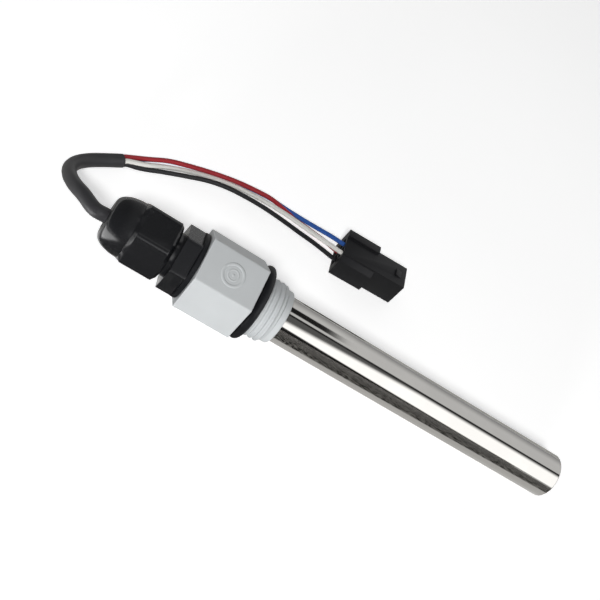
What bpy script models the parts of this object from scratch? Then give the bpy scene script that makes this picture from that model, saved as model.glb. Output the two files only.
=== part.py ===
"""Optical level sensor, lying on a flat surface.

A polished steel tube with a prism in its nose stands in a hexagonal plastic head with a pipe
thread and a sealing ring. A cable gland clamps the lead, which ends in a four-way plug.
All sizes are in metres. Pieces on the probe are built along +X from the head's flange face.
"""

import math

import bmesh
import bpy
from mathutils import Matrix, Vector

GAP = 0.0003

# Probe tube
TUBE_DIAMETER = 0.0160
TUBE_WALL = 0.0010
TUBE_REACH = 0.1255
TUBE_GRIP = 0.0180
TUBE_EDGE = 0.0004

# Head: hexagon and threaded spigot
HEX_ACROSS_FLATS = 0.0245
HEX_LENGTH = 0.0198
HEX_EDGE = 0.0004
SPIGOT_LENGTH = 0.01195
SPIGOT_WALL = 0.00085
THREAD_PITCH = 0.001814
THREAD_DEPTH = 0.00116
THREAD_LENGTH = 0.0059
THREAD_CREST = 0.00045
PILOT_EDGE = 0.0007
BORE_STEP = 0.0012
MARK_RADIUS = 0.0039
MARK_INNER_RADIUS = 0.0019
MARK_WIDTH = 0.0004
MARK_DEPTH = 0.0002

# Sealing ring under the flange, and washer behind the head
GASKET_SECTION = 0.0029
WASHER_THICKNESS = 0.0012
WASHER_OVERHANG = 0.0022

# Cable gland
GLAND_THREAD_DIAMETER = 0.0158
GLAND_THREAD_LENGTH = 0.0080
GLAND_BORE_DIAMETER = 0.0076
BODY_ACROSS_FLATS = 0.0190
BODY_HEX_LENGTH = 0.0051
BODY_TURN = math.radians(13.0)
NECK_DIAMETER = 0.0166
NECK_LENGTH = 0.0095
CLAW_LENGTH = 0.0062
CLAW_NARROWING = 0.0020
CLAW_SLOTS = 6
CLAW_SLOT_WIDTH = 0.0011
SEAL_WALL = 0.0026
SEAL_LENGTH = 0.0105
NUT_ACROSS_FLATS = 0.0196
NUT_HEX_LENGTH = 0.0141
NUT_TURN = math.radians(-9.0)
NUT_CHAMFER = 0.0010
DOME_STEP = 0.0004
DOME_LENGTH = 0.0084
DOME_MOUTH_DIAMETER = 0.0076
DOME_LIP = 0.0008

# Prism and electronics inside the nose
PRISM_LENGTH = 0.0110
PRISM_RECESS = 0.0008
PRISM_NOSE = 0.0044
PRISM_ANGLE = math.radians(45.0)
PRISM_RING_SECTION = 0.0015
PRISM_RING_SETBACK = 0.0045
HOLDER_LENGTH = 0.0072
LENS_DIAMETER = 0.0030
LENS_SPACING = 0.0052
LENS_LENGTH = 0.0046
LENS_RIM = 0.0003
LEAD_THICKNESS = 0.0005
LEAD_SPACING = 0.00127
BOARD_WIDTH = 0.0098
BOARD_LENGTH = 0.0460
BOARD_THICKNESS = 0.0010
BOARD_TONGUE = 0.0018
CHIP_LENGTH = 0.0049
CHIP_WIDTH = 0.0039
CHIP_HEIGHT = 0.0014
TRANSISTOR_LENGTH = 0.0029
TRANSISTOR_WIDTH = 0.0013
TRANSISTOR_HEIGHT = 0.0011
RESISTOR_LENGTH = 0.0032
RESISTOR_WIDTH = 0.0016
RESISTOR_HEIGHT = 0.0006
CAPACITOR_DIAMETER = 0.0040
CAPACITOR_HEIGHT = 0.0038
POTTING_LENGTH = 0.0060

# Lead
CABLE_DIAMETER = 0.0047
WIRE_DIAMETER = 0.0015
CORE_OFFSET = 0.0009
POTTED_CORE_OFFSET = 0.0016
SHEATH_INSIDE = 0.0280

# Plug
PLUG_WIDTH = 0.0104
PLUG_LENGTH = 0.0264
PLUG_WALL = 0.0011
PLUG_PARTITION = 0.0009
PLUG_EDGE = 0.0004
SOCKET_DEPTH = 0.0120
WEB_THICKNESS = 0.0030
RIB_LENGTH = 0.0136
RIB_OVERHANG = 0.0018
RIB_RISE = 0.0010
RIB_WIDTH = 0.0034
RIB_SLOPE = 0.0026
CATCH_WIDTH = 0.0032
CATCH_LENGTH = 0.0026
CATCH_RISE = 0.0009
CATCH_SETBACK = 0.0020
PIN_DIAMETER = 0.0011
PIN_REACH = 0.0074
PIN_BARREL_DIAMETER = 0.0024
PIN_BARREL_LENGTH = 0.0055

# Rest pose: the head is turned on its hexagon, and the nose lies on the surface
REST_ROLL = math.radians(24.0)
PLUG_PLACE = (0.0429, 0.0507)

# Free cords: route points on the surface below the flange face
SHEATH_ROUTE = (
    (-0.0584, 0.0046, 0.0147),
    (-0.0624, 0.0096, 0.0116),
    (-0.0652, 0.0151, 0.0084),
    (-0.0664, 0.0208, 0.0056),
    (-0.0655, 0.0262, 0.0037),
    (-0.0625, 0.0309, 0.0027),
    (-0.0582, 0.0349, 0.0024),
    (-0.0535, 0.0386, 0.0024),
)
RED_ROUTE = (
    (-0.0460, 0.0459, 0.0029),
    (-0.0396, 0.0502, 0.0025),
    (-0.0330, 0.0529, 0.0024),
    (-0.0250, 0.0554, 0.0025),
    (-0.0162, 0.0577, 0.0025),
    (-0.0078, 0.0591, 0.0025),
    (0.0000, 0.0595, 0.0024),
    (0.0070, 0.0584, 0.0018),
    (0.0130, 0.0566, 0.0011),
    (0.0190, 0.0547, 0.0011),
    (0.0245, 0.0534, 0.0020),
)
BLUE_ROUTE = (
    (-0.0466, 0.0471, 0.0010),
    (-0.0400, 0.0517, 0.0009),
    (-0.0333, 0.0545, 0.0008),
    (-0.0250, 0.0574, 0.0008),
    (-0.0162, 0.0597, 0.0008),
    (-0.0078, 0.0610, 0.0008),
    (0.0000, 0.0616, 0.0009),
    (0.0065, 0.0610, 0.0014),
    (0.0130, 0.0589, 0.0031),
    (0.0190, 0.0564, 0.0053),
    (0.0245, 0.0542, 0.0069),
)
WHITE_ROUTE = (
    (-0.0458, 0.0425, 0.0023),
    (-0.0395, 0.0472, 0.0013),
    (-0.0320, 0.0512, 0.0009),
    (-0.0246, 0.0545, 0.0009),
    (-0.0154, 0.0566, 0.0010),
    (-0.0080, 0.0571, 0.0013),
    (0.0000, 0.0565, 0.0023),
    (0.0080, 0.0543, 0.0040),
    (0.0150, 0.0519, 0.0056),
    (0.0205, 0.0501, 0.0068),
    (0.0250, 0.0489, 0.0073),
)
BLACK_ROUTE = (
    (-0.0466, 0.0413, 0.0009),
    (-0.0400, 0.0448, 0.0008),
    (-0.0320, 0.0487, 0.0008),
    (-0.0239, 0.0524, 0.0008),
    (-0.0170, 0.0543, 0.0008),
    (-0.0100, 0.0549, 0.0008),
    (-0.0020, 0.0542, 0.0008),
    (0.0066, 0.0525, 0.0010),
    (0.0140, 0.0506, 0.0016),
    (0.0200, 0.0491, 0.0025),
    (0.0250, 0.0485, 0.0029),
)

# Values that follow from the sizes above
TUBE_RADIUS = TUBE_DIAMETER / 2
TUBE_BORE_RADIUS = TUBE_RADIUS - TUBE_WALL
SOCKET_RADIUS = TUBE_RADIUS + GAP
ROOT_RADIUS = SOCKET_RADIUS + SPIGOT_WALL
CREST_RADIUS = ROOT_RADIUS + THREAD_DEPTH
RELIEF_RADIUS = CREST_RADIUS - THREAD_DEPTH / 2
PILOT_RADIUS = ROOT_RADIUS + GAP / 6
GASKET_RADIUS = RELIEF_RADIUS + GAP + GASKET_SECTION / 2
GASKET_PLACE = GAP + GASKET_SECTION / 2
THREAD_START = GASKET_PLACE + GASKET_SECTION / 2 + GAP
HEX_CORNER = HEX_ACROSS_FLATS / math.sqrt(3)
GLAND_HOLE_RADIUS = GLAND_THREAD_DIAMETER / 2 + GAP
GLAND_HOLE_DEPTH = GLAND_THREAD_LENGTH + WASHER_THICKNESS
WASHER_PLACE = -HEX_LENGTH - GAP
BODY_FACE = WASHER_PLACE - WASHER_THICKNESS - GAP
BODY_BACK = BODY_FACE - BODY_HEX_LENGTH
NUT_FACE = BODY_BACK - GAP
NUT_BACK = NUT_FACE - NUT_HEX_LENGTH
GLAND_MOUTH = NUT_BACK - DOME_LENGTH
SEAL_BORE_RADIUS = CABLE_DIAMETER / 2 + GAP
SEAL_RADIUS = SEAL_BORE_RADIUS + SEAL_WALL
SEAT_RADIUS = SEAL_RADIUS + GAP
CLAW_BACK = BODY_BACK - NECK_LENGTH - CLAW_LENGTH
SHEATH_START = GLAND_MOUTH + SHEATH_INSIDE
TUBE_BACK = SPIGOT_LENGTH - TUBE_GRIP - GAP
PRISM_FRONT = TUBE_REACH - PRISM_RECESS
PRISM_BACK = PRISM_FRONT - PRISM_LENGTH
PRISM_RADIUS = TUBE_BORE_RADIUS - GAP
HOLDER_FRONT = PRISM_BACK - GAP
HOLDER_BACK = HOLDER_FRONT - HOLDER_LENGTH
BOARD_FRONT = HOLDER_BACK + BOARD_TONGUE
BOARD_TOP = -BOARD_THICKNESS / 2
PLUG_CAVITY = (PLUG_WIDTH - 2 * PLUG_WALL - PLUG_PARTITION) / 2
CAVITY_OFFSET = (PLUG_CAVITY + PLUG_PARTITION) / 2
BACK_DEPTH = PLUG_LENGTH - SOCKET_DEPTH - WEB_THICKNESS
PIN_BACK = PLUG_LENGTH / 2 - SOCKET_DEPTH - WEB_THICKNESS - PIN_BARREL_LENGTH


def tilt_over(contact_place, contact_radius):
    """Nose-down angle of the axis when this point under the head and the tube's nose both touch."""
    along = TUBE_REACH - TUBE_EDGE - contact_place
    drop = contact_radius - (TUBE_RADIUS - TUBE_EDGE)
    return math.atan2(drop, along) - math.asin(TUBE_EDGE / math.hypot(along, drop))


ROUNDED_CORNER = HEX_CORNER - HEX_EDGE * (2 - math.sqrt(3))
CORNER_BELOW = ROUNDED_CORNER * math.cos(math.radians(30) - REST_ROLL)
REST_TILT = max(tilt_over(0, CORNER_BELOW), tilt_over(GASKET_PLACE, GASKET_RADIUS + GASKET_SECTION / 2))
AXIS_HEIGHT = max(
    CORNER_BELOW * math.cos(REST_TILT),
    GASKET_PLACE * math.sin(REST_TILT) + GASKET_RADIUS * math.cos(REST_TILT) + GASKET_SECTION / 2,
)
NOSE_END = (TUBE_REACH - PRISM_RECESS + PRISM_NOSE) * math.cos(REST_TILT)
GLAND_END = GLAND_MOUTH * math.cos(REST_TILT) - (DOME_MOUTH_DIAMETER / 2 + DOME_LIP) * math.sin(REST_TILT)
FLANGE_X = -(NOSE_END + GLAND_END) / 2


def clear_scene():
    for old in list(bpy.data.objects):
        bpy.data.objects.remove(old, do_unlink=True)


def material(name, colour, roughness, metallic=0.0, transmission=0.0):
    made = bpy.data.materials.new(name)
    made.use_nodes = True
    shader = made.node_tree.nodes["Principled BSDF"]
    shader.inputs["Base Color"].default_value = (*colour, 1.0)
    shader.inputs["Roughness"].default_value = roughness
    shader.inputs["Metallic"].default_value = metallic
    shader.inputs["Transmission Weight"].default_value = transmission
    made.diffuse_color = (*colour, 1.0)
    return made


def empty(name, location, rotation=(0, 0, 0)):
    made = bpy.data.objects.new(name, None)
    made.empty_display_size = 0.01
    made.location = location
    made.rotation_euler = rotation
    bpy.context.scene.collection.objects.link(made)
    return made


def place(name, data, parent, finish, location=(0, 0, 0), turn=0.0):
    """Links a mesh or curve as an object on the parent, turned about the parent's X axis."""
    made = bpy.data.objects.new(name, data)
    bpy.context.scene.collection.objects.link(made)
    made.parent = parent
    made.location = location
    made.rotation_euler = (turn, 0, 0)
    if finish is not None:
        data.materials.append(finish)
    return made


def finished_mesh(name, bm, smooth_below=35.0):
    """Welds and orients the faces, and shades the round ones smooth."""
    bmesh.ops.remove_doubles(bm, verts=bm.verts, dist=1e-7)
    bmesh.ops.recalc_face_normals(bm, faces=bm.faces)
    mesh = bpy.data.meshes.new(name)
    bm.to_mesh(mesh)
    bm.free()
    mesh.shade_smooth()
    mesh.set_sharp_from_angle(angle=math.radians(smooth_below))
    return mesh


def rounded(corners, steps=3):
    """An outline whose corners (along, radius, fillet) are replaced by arcs of that fillet."""
    points = []
    last = len(corners) - 1
    for i, (along, radius, fillet) in enumerate(corners):
        corner = Vector((along, radius))
        if fillet <= 0 or (i in (0, last) and radius == 0):
            points.append(corner)
            continue
        before = Vector(corners[i - 1][:2]) - corner
        after = Vector(corners[(i + 1) % len(corners)][:2]) - corner
        half = before.angle(after) / 2
        reach = min(fillet / math.tan(half), before.length * 0.48, after.length * 0.48)
        start = corner + before.normalized() * reach
        end = corner + after.normalized() * reach
        middle = corner + (before.normalized() + after.normalized()).normalized() * (
            reach / math.cos(half)
        )
        swing = (start - middle).angle_signed(end - middle)
        for step in range(steps + 1):
            turned = (start - middle).to_3d()
            turned.rotate(Matrix.Rotation(-swing * step / steps, 3, "Z"))
            points.append(middle + turned.to_2d())
    return points


def turned_mesh(name, outline, steps=48, smooth_below=35.0):
    """Turns an outline of (along, radius) about X. It is closed unless both its ends lie on the axis."""
    bm = bmesh.new()
    verts = [bm.verts.new((p[0], 0, p[1])) for p in outline]
    edges = [bm.edges.new(pair) for pair in zip(verts, verts[1:])]
    if outline[0][1] > 0 or outline[-1][1] > 0:
        edges.append(bm.edges.new((verts[-1], verts[0])))
    bmesh.ops.spin(
        bm, geom=verts + edges, cent=(0, 0, 0), axis=(1, 0, 0), angle=math.tau, steps=steps, use_merge=True
    )
    return finished_mesh(name, bm, smooth_below)


def ring_mesh(name, radius, section, steps=48, around=10):
    """A ring of round section about X."""
    outline = [
        (section / 2 * math.cos(math.tau * k / around), radius + section / 2 * math.sin(math.tau * k / around))
        for k in range(around)
    ]
    return turned_mesh(name, outline, steps, 180.0)


def hexagon_mesh(name, across_flats, start, end, edge=0.0):
    """A hexagonal bar along X with a flat on top and its six long edges rounded."""
    bm = bmesh.new()
    made = bmesh.ops.create_circle(bm, cap_ends=True, segments=6, radius=across_flats / math.sqrt(3))
    bmesh.ops.rotate(bm, verts=made["verts"], matrix=Matrix.Rotation(math.radians(90), 3, "Y"))
    bmesh.ops.translate(bm, verts=made["verts"], vec=(start, 0, 0))
    pushed = bmesh.ops.extrude_face_region(bm, geom=bm.faces[:])
    moved = [v for v in pushed["geom"] if isinstance(v, bmesh.types.BMVert)]
    bmesh.ops.translate(bm, verts=moved, vec=(end - start, 0, 0))
    if edge > 0:
        long_edges = [e for e in bm.edges if abs(e.verts[0].co.x - e.verts[1].co.x) > 1e-6]
        bmesh.ops.bevel(bm, geom=long_edges, offset=edge, segments=2, profile=0.5, affect="EDGES", material=-1)
    return finished_mesh(name, bm)


def box_into(bm, low, high):
    """Adds a box between two corners."""
    made = bmesh.ops.create_cube(bm, size=1.0)
    size = Vector(high) - Vector(low)
    bmesh.ops.scale(bm, vec=size, verts=made["verts"])
    bmesh.ops.translate(bm, vec=Vector(low) + size / 2, verts=made["verts"])
    return made["verts"]


def boxes_mesh(name, boxes, edge=0.0):
    bm = bmesh.new()
    for low, high in boxes:
        box_into(bm, low, high)
    if edge > 0:
        bmesh.ops.bevel(bm, geom=bm.edges[:], offset=edge, segments=2, profile=0.5, affect="EDGES", material=-1)
    return finished_mesh(name, bm)


def prism_mesh(name, outline, start, end):
    """An outline of (y, z) points pushed along X."""
    bm = bmesh.new()
    face = bm.faces.new([bm.verts.new((start, y, z)) for y, z in outline])
    pushed = bmesh.ops.extrude_face_region(bm, geom=[face])
    moved = [v for v in pushed["geom"] if isinstance(v, bmesh.types.BMVert)]
    bmesh.ops.translate(bm, verts=moved, vec=(end - start, 0, 0))
    return finished_mesh(name, bm)


def combine(target, operation, mesh, turn=0.0, location=None):
    """Adds a Boolean with a helper that stays out of the render."""
    helper = place(mesh.name, mesh, target.parent, None, location or target.location, turn)
    helper.hide_render = True
    helper.display_type = "WIRE"
    modifier = target.modifiers.new(mesh.name, "BOOLEAN")
    modifier.operation = operation
    modifier.solver = "EXACT"
    modifier.object = helper
    return helper


def smooth_route(points, spacing):
    """Points about one spacing apart on a smooth curve through the route points."""
    knots = [Vector(p) for p in points]
    knots = [2 * knots[0] - knots[1], *knots, 2 * knots[-1] - knots[-2]]
    fine = []
    for a, b, c, d in zip(knots, knots[1:], knots[2:], knots[3:]):
        for step in range(24):
            t = step / 24
            fine.append(
                0.5 * (2 * b + (c - a) * t + (2 * a - 5 * b + 4 * c - d) * t**2 + (3 * b - a - 3 * c + d) * t**3)
            )
    fine.append(knots[-2])
    lengths = [0.0]
    for a, b in zip(fine, fine[1:]):
        lengths.append(lengths[-1] + (b - a).length)
    count = max(2, round(lengths[-1] / spacing))
    route = []
    at = 0
    for step in range(count + 1):
        wanted = lengths[-1] * step / count
        while at < len(fine) - 2 and lengths[at + 1] < wanted:
            at += 1
        share = (wanted - lengths[at]) / max(lengths[at + 1] - lengths[at], 1e-9)
        route.append(fine[at].lerp(fine[at + 1], min(share, 1.0)))
    return route


def cord(name, route, diameter, parent, finish, roundness):
    """A tube along route points, closed at both ends."""
    curve = bpy.data.curves.new(name, "CURVE")
    curve.dimensions = "3D"
    curve.bevel_depth = diameter / 2
    curve.bevel_resolution = roundness
    curve.use_fill_caps = True
    spline = curve.splines.new("POLY")
    spline.points.add(len(route) - 1)
    for point, place_at in zip(spline.points, route):
        point.co = (*place_at, 1.0)
    return place(name, curve, parent, finish)


def probe_tube(axis, finish):
    """Thin steel tube, open at both ends, with its nose edge rounded."""
    outline = rounded(
        (
            (TUBE_BACK, TUBE_BORE_RADIUS, 0),
            (TUBE_BACK, TUBE_RADIUS, TUBE_EDGE / 2),
            (TUBE_REACH, TUBE_RADIUS, TUBE_EDGE),
            (TUBE_REACH, TUBE_BORE_RADIUS, TUBE_EDGE / 4),
        )
    )
    place("probe_tube", turned_mesh("probe_tube", outline, 64), axis, finish)


def spigot_mesh():
    """The threaded spigot as one solid: a helical ridge cut square at both ends, with plain ends added."""
    steps = 36
    turns = 3 + math.ceil(THREAD_LENGTH / THREAD_PITCH)
    flank = (THREAD_PITCH - THREAD_CREST * 2) / 2
    start = THREAD_START - 1.5 * THREAD_PITCH
    ridge = (
        (0.0, ROOT_RADIUS),
        (flank, CREST_RADIUS),
        (flank + THREAD_CREST, CREST_RADIUS),
        (2 * flank + THREAD_CREST, ROOT_RADIUS),
        (THREAD_PITCH, ROOT_RADIUS),
    )
    bm = bmesh.new()
    verts = [bm.verts.new((start + along, 0, radius)) for along, radius in ridge]
    edges = [bm.edges.new(pair) for pair in zip(verts, verts[1:])]
    bmesh.ops.spin(
        bm,
        geom=verts + edges,
        cent=(0, 0, 0),
        axis=(1, 0, 0),
        dvec=(THREAD_PITCH / steps, 0, 0),
        angle=math.tau * turns,
        steps=steps * turns,
    )
    bmesh.ops.remove_doubles(bm, verts=bm.verts, dist=1e-6)
    thread_end = THREAD_START + THREAD_LENGTH
    for cut_at, outward in ((THREAD_START, -1), (thread_end, 1)):
        bmesh.ops.bisect_plane(
            bm,
            geom=bm.verts[:] + bm.edges[:] + bm.faces[:],
            dist=1e-7,
            plane_co=(cut_at, 0, 0),
            plane_no=(outward, 0, 0),
            clear_outer=True,
        )
    bmesh.ops.remove_doubles(bm, verts=bm.verts, dist=2e-5)
    grow_end(bm, THREAD_START, ((THREAD_START - GAP / 2, RELIEF_RADIUS), (-HEX_LENGTH / 2, RELIEF_RADIUS)))
    pilot = [(thread_end + GAP / 2, PILOT_RADIUS), (SPIGOT_LENGTH - PILOT_EDGE, PILOT_RADIUS)]
    for step in (1, 2, 3):
        angle = math.radians(30 * step)
        along = SPIGOT_LENGTH - PILOT_EDGE * (1 - math.sin(angle))
        pilot.append((along, PILOT_RADIUS - PILOT_EDGE * (1 - math.cos(angle))))
    grow_end(bm, thread_end, pilot)
    return finished_mesh("head_spigot", bm, 50.0)


def grow_end(bm, cut_at, stations):
    """Carries the open rim at one place on through (along, radius) stations and caps it."""
    rim = [e for e in bm.edges if e.is_boundary and all(abs(v.co.x - cut_at) < 1e-5 for v in e.verts)]
    for along, radius in stations:
        grown = bmesh.ops.extrude_edge_only(bm, edges=rim)["geom"]
        rim = [e for e in grown if isinstance(e, bmesh.types.BMEdge)]
        for vert in {v for e in rim for v in e.verts}:
            across = Vector((0, vert.co.y, vert.co.z)).normalized() * radius
            vert.co = (along, across.y, across.z)
    bmesh.ops.contextual_create(bm, geom=rim)


def threaded_head(axis, finish):
    """Moulded head: hexagon, pipe thread, stepped bore and a ring mark on one flat."""
    mesh = hexagon_mesh("threaded_head", HEX_ACROSS_FLATS, -HEX_LENGTH, 0.0, HEX_EDGE)
    head = place("threaded_head", mesh, axis, finish)
    combine(head, "UNION", spigot_mesh())
    socket_end = SPIGOT_LENGTH - TUBE_GRIP - 2 * GAP
    hole_end = -HEX_LENGTH + GLAND_HOLE_DEPTH
    ledge = min(SOCKET_RADIUS, GLAND_HOLE_RADIUS) - BORE_STEP
    beyond = 0.001
    bore = (
        (-HEX_LENGTH - beyond, 0.0),
        (-HEX_LENGTH - beyond, GLAND_HOLE_RADIUS),
        (min(hole_end, socket_end - BORE_STEP), GLAND_HOLE_RADIUS),
        (min(hole_end, socket_end - BORE_STEP), ledge),
        (socket_end, ledge),
        (socket_end, SOCKET_RADIUS),
        (SPIGOT_LENGTH + beyond, SOCKET_RADIUS),
        (SPIGOT_LENGTH + beyond, 0.0),
    )
    combine(head, "DIFFERENCE", turned_mesh("head_bore", bore, 48))
    combine(head, "DIFFERENCE", mark_mesh())


def mark_mesh():
    """Two flat rings that cut shallow grooves round the middle of the upper flat."""
    top = HEX_ACROSS_FLATS / 2
    low = top - MARK_DEPTH
    high = top + MARK_DEPTH
    bm = bmesh.new()
    for outer in (MARK_RADIUS, MARK_INNER_RADIUS):
        inner = outer - MARK_WIDTH
        corners = ((inner, low), (outer, low), (outer, high), (inner, high))
        verts = [bm.verts.new((x, 0, z)) for x, z in corners]
        edges = [bm.edges.new((verts[i], verts[(i + 1) % 4])) for i in range(4)]
        bmesh.ops.spin(
            bm, geom=verts + edges, cent=(0, 0, 0), axis=(0, 0, 1), angle=math.tau, steps=28, use_merge=True
        )
    bmesh.ops.translate(bm, verts=bm.verts, vec=(-HEX_LENGTH / 2, 0, 0))
    return finished_mesh("mark_rings", bm)


def head_gasket(axis, finish):
    mesh = ring_mesh("head_gasket", GASKET_RADIUS, GASKET_SECTION, 56, 12)
    place("head_gasket", mesh, axis, finish, (GASKET_PLACE, 0, 0))


def gland_washer(axis, finish):
    """Flat rubber washer between the head and the gland body."""
    inner = GLAND_THREAD_DIAMETER / 2 + GAP
    outline = rounded(
        (
            (-WASHER_THICKNESS, inner, 0),
            (-WASHER_THICKNESS, inner + WASHER_OVERHANG, WASHER_THICKNESS / 4),
            (0, inner + WASHER_OVERHANG, WASHER_THICKNESS / 4),
            (0, inner, 0),
        ),
        2,
    )
    place("gland_washer", turned_mesh("gland_washer", outline), axis, finish, (WASHER_PLACE, 0, 0))


def gland_body(axis, finish):
    """Body with a hexagon, a thread at each side of it and a slotted claw round the seal."""
    corner = BODY_ACROSS_FLATS / math.sqrt(3)
    flat = BODY_ACROSS_FLATS / 2
    neck = NECK_DIAMETER / 2
    neck_back = BODY_BACK - NECK_LENGTH
    seat_floor = CLAW_BACK + SEAL_LENGTH
    front = BODY_FACE + WASHER_THICKNESS + 2 * GAP + GLAND_THREAD_LENGTH
    outline = rounded(
        (
            (front, GLAND_BORE_DIAMETER / 2, 0),
            (front, GLAND_THREAD_DIAMETER / 2, NUT_CHAMFER / 2),
            (BODY_FACE, GLAND_THREAD_DIAMETER / 2, 0),
            (BODY_FACE, flat, 0),
            (BODY_FACE - (corner - flat) / 2, corner, 0),
            (BODY_BACK + (corner - flat), corner, 0),
            (BODY_BACK, flat - DOME_STEP, 0),
            (BODY_BACK, neck, 0),
            (neck_back, neck, 0),
            (CLAW_BACK, neck - CLAW_NARROWING, 0),
            (CLAW_BACK, SEAT_RADIUS, 0),
            (seat_floor, SEAT_RADIUS, 0),
            (seat_floor, GLAND_BORE_DIAMETER / 2, 0),
        ),
        2,
    )
    body = place("gland_body", turned_mesh("gland_body", outline), axis, finish)
    hexagon = hexagon_mesh("body_hexagon", BODY_ACROSS_FLATS, CLAW_BACK - GAP, front + GAP, HEX_EDGE)
    combine(body, "INTERSECT", hexagon, BODY_TURN)
    combine(body, "DIFFERENCE", slots_mesh(SEAT_RADIUS / 2, neck_back, CLAW_BACK - GAP))


def slots_mesh(inner, start, end):
    """A star whose arms cut the slots between the claw's fingers."""
    reach = NECK_DIAMETER
    half = CLAW_SLOT_WIDTH / 2
    outline = []
    for arm in range(CLAW_SLOTS):
        turn = Matrix.Rotation(math.tau * arm / CLAW_SLOTS, 2)
        for across, out in ((-half, inner), (-half, reach), (half, reach), (half, inner)):
            outline.append(turn @ Vector((out, across)))
    return prism_mesh("claw_slots", outline, start, end)


def gland_seal(axis, finish):
    """Rubber sleeve that the claw squeezes on the cable."""
    outline = rounded(
        (
            (CLAW_BACK + GAP, SEAL_BORE_RADIUS, 0),
            (CLAW_BACK + GAP, SEAL_RADIUS, SEAL_WALL / 4),
            (CLAW_BACK + SEAL_LENGTH - GAP, SEAL_RADIUS, SEAL_WALL / 4),
            (CLAW_BACK + SEAL_LENGTH - GAP, SEAL_BORE_RADIUS, 0),
        ),
        2,
    )
    place("gland_seal", turned_mesh("gland_seal", outline, 32), axis, finish)


def gland_nut(axis, finish):
    """Domed nut: hexagon with chamfered corners, then a step and a dome round the cable."""
    corner = NUT_ACROSS_FLATS / math.sqrt(3)
    flat = NUT_ACROSS_FLATS / 2
    dome = flat - DOME_STEP
    mouth = DOME_MOUTH_DIAMETER / 2
    bore = NECK_DIAMETER / 2 + GAP
    lead = NUT_CHAMFER
    outline = [
        Vector((0, bore)),
        Vector((0, flat - lead / 2)),
        Vector((-lead, corner)),
        Vector((-NUT_HEX_LENGTH + lead / 2, corner)),
        Vector((-NUT_HEX_LENGTH, flat)),
        Vector((-NUT_HEX_LENGTH - DOME_STEP / 2, dome)),
    ]
    steps = 7
    lip = mouth + DOME_LIP
    for step in range(1, steps + 1):
        angle = math.radians(90) * step / steps
        along = -NUT_HEX_LENGTH - DOME_STEP / 2 - (DOME_LENGTH - DOME_STEP / 2) * math.sin(angle)
        outline.append(Vector((along, lip + (dome - lip) * math.cos(angle) ** 0.8)))
    outline.append(Vector((-NUT_HEX_LENGTH - DOME_LENGTH, mouth)))
    claw = NECK_DIAMETER / 2 - CLAW_NARROWING + GAP
    cone_end = CLAW_BACK - NUT_FACE - GAP
    outline += [Vector((cone_end, mouth)), Vector((cone_end, claw)), Vector((cone_end + CLAW_LENGTH, bore))]
    nut = place("gland_nut", turned_mesh("gland_nut", outline), axis, finish, (NUT_FACE, 0, 0))
    hexagon = hexagon_mesh("nut_hexagon", NUT_ACROSS_FLATS, -NUT_HEX_LENGTH - DOME_LENGTH - GAP, GAP, HEX_EDGE)
    combine(nut, "INTERSECT", hexagon, NUT_TURN, nut.location)


def sensing_prism(axis, finish):
    """Clear plug with a blunt conical nose and a groove for its seal."""
    groove_floor = TUBE_BORE_RADIUS - 3 * GAP - PRISM_RING_SECTION
    groove_back = PRISM_FRONT - PRISM_RING_SETBACK - PRISM_RING_SECTION / 2 - GAP
    groove_front = groove_back + PRISM_RING_SECTION + 2 * GAP
    shoulder = PRISM_NOSE / math.tan(PRISM_ANGLE) + PRISM_RING_SECTION / 2
    tip = shoulder - PRISM_NOSE / math.tan(PRISM_ANGLE)
    outline = rounded(
        (
            (PRISM_BACK, 0, 0),
            (PRISM_BACK, PRISM_RADIUS, GAP),
            (groove_back, PRISM_RADIUS, 0),
            (groove_back, groove_floor, 0),
            (groove_front, groove_floor, 0),
            (groove_front, PRISM_RADIUS, 0),
            (PRISM_FRONT, PRISM_RADIUS, GAP),
            (PRISM_FRONT, shoulder, 0),
            (PRISM_FRONT + PRISM_NOSE, tip, tip),
            (PRISM_FRONT + PRISM_NOSE, 0, 0),
        )
    )
    place("sensing_prism", turned_mesh("sensing_prism", outline, 40), axis, finish)


def prism_seal_ring(axis, finish):
    radius = TUBE_BORE_RADIUS - GAP - PRISM_RING_SECTION / 2
    mesh = ring_mesh("prism_seal_ring", radius, PRISM_RING_SECTION - GAP, 36, 8)
    place("prism_seal_ring", mesh, axis, finish, (PRISM_FRONT - PRISM_RING_SETBACK, 0, 0))


def optics_holder(axis, finish):
    """Black disc behind the prism with two lens bores and a slot for the board's tongue."""
    outline = rounded(
        (
            (HOLDER_BACK, 0, 0),
            (HOLDER_BACK, PRISM_RADIUS, 2 * GAP),
            (HOLDER_FRONT, PRISM_RADIUS, 2 * GAP),
            (HOLDER_FRONT, 0, 0),
        ),
        2,
    )
    holder = place("optics_holder", turned_mesh("optics_holder", outline, 36), axis, finish)
    bm = bmesh.new()
    for side in (-1, 1):
        bore = bmesh.ops.create_cone(
            bm,
            cap_ends=True,
            segments=20,
            radius1=LENS_DIAMETER / 2 + LENS_RIM + 2 * GAP,
            radius2=LENS_DIAMETER / 2 + LENS_RIM + 2 * GAP,
            depth=HOLDER_LENGTH + 4 * GAP,
        )["verts"]
        bmesh.ops.rotate(bm, verts=bore, matrix=Matrix.Rotation(math.radians(90), 3, "Y"))
        middle = (HOLDER_FRONT + HOLDER_BACK) / 2
        bmesh.ops.translate(bm, verts=bore, vec=(middle, side * LENS_SPACING / 2, 0))
    combine(holder, "DIFFERENCE", finished_mesh("lens_bores", bm))
    slot_half = (BOARD_WIDTH / 2 + GAP, BOARD_THICKNESS / 2 + GAP)
    slot = boxes_mesh(
        "board_slot",
        (
            (
                (HOLDER_BACK - GAP, -slot_half[0], -BOARD_THICKNESS - GAP),
                (BOARD_FRONT + GAP, slot_half[0], GAP),
            ),
        ),
    )
    combine(holder, "DIFFERENCE", slot)


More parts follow.
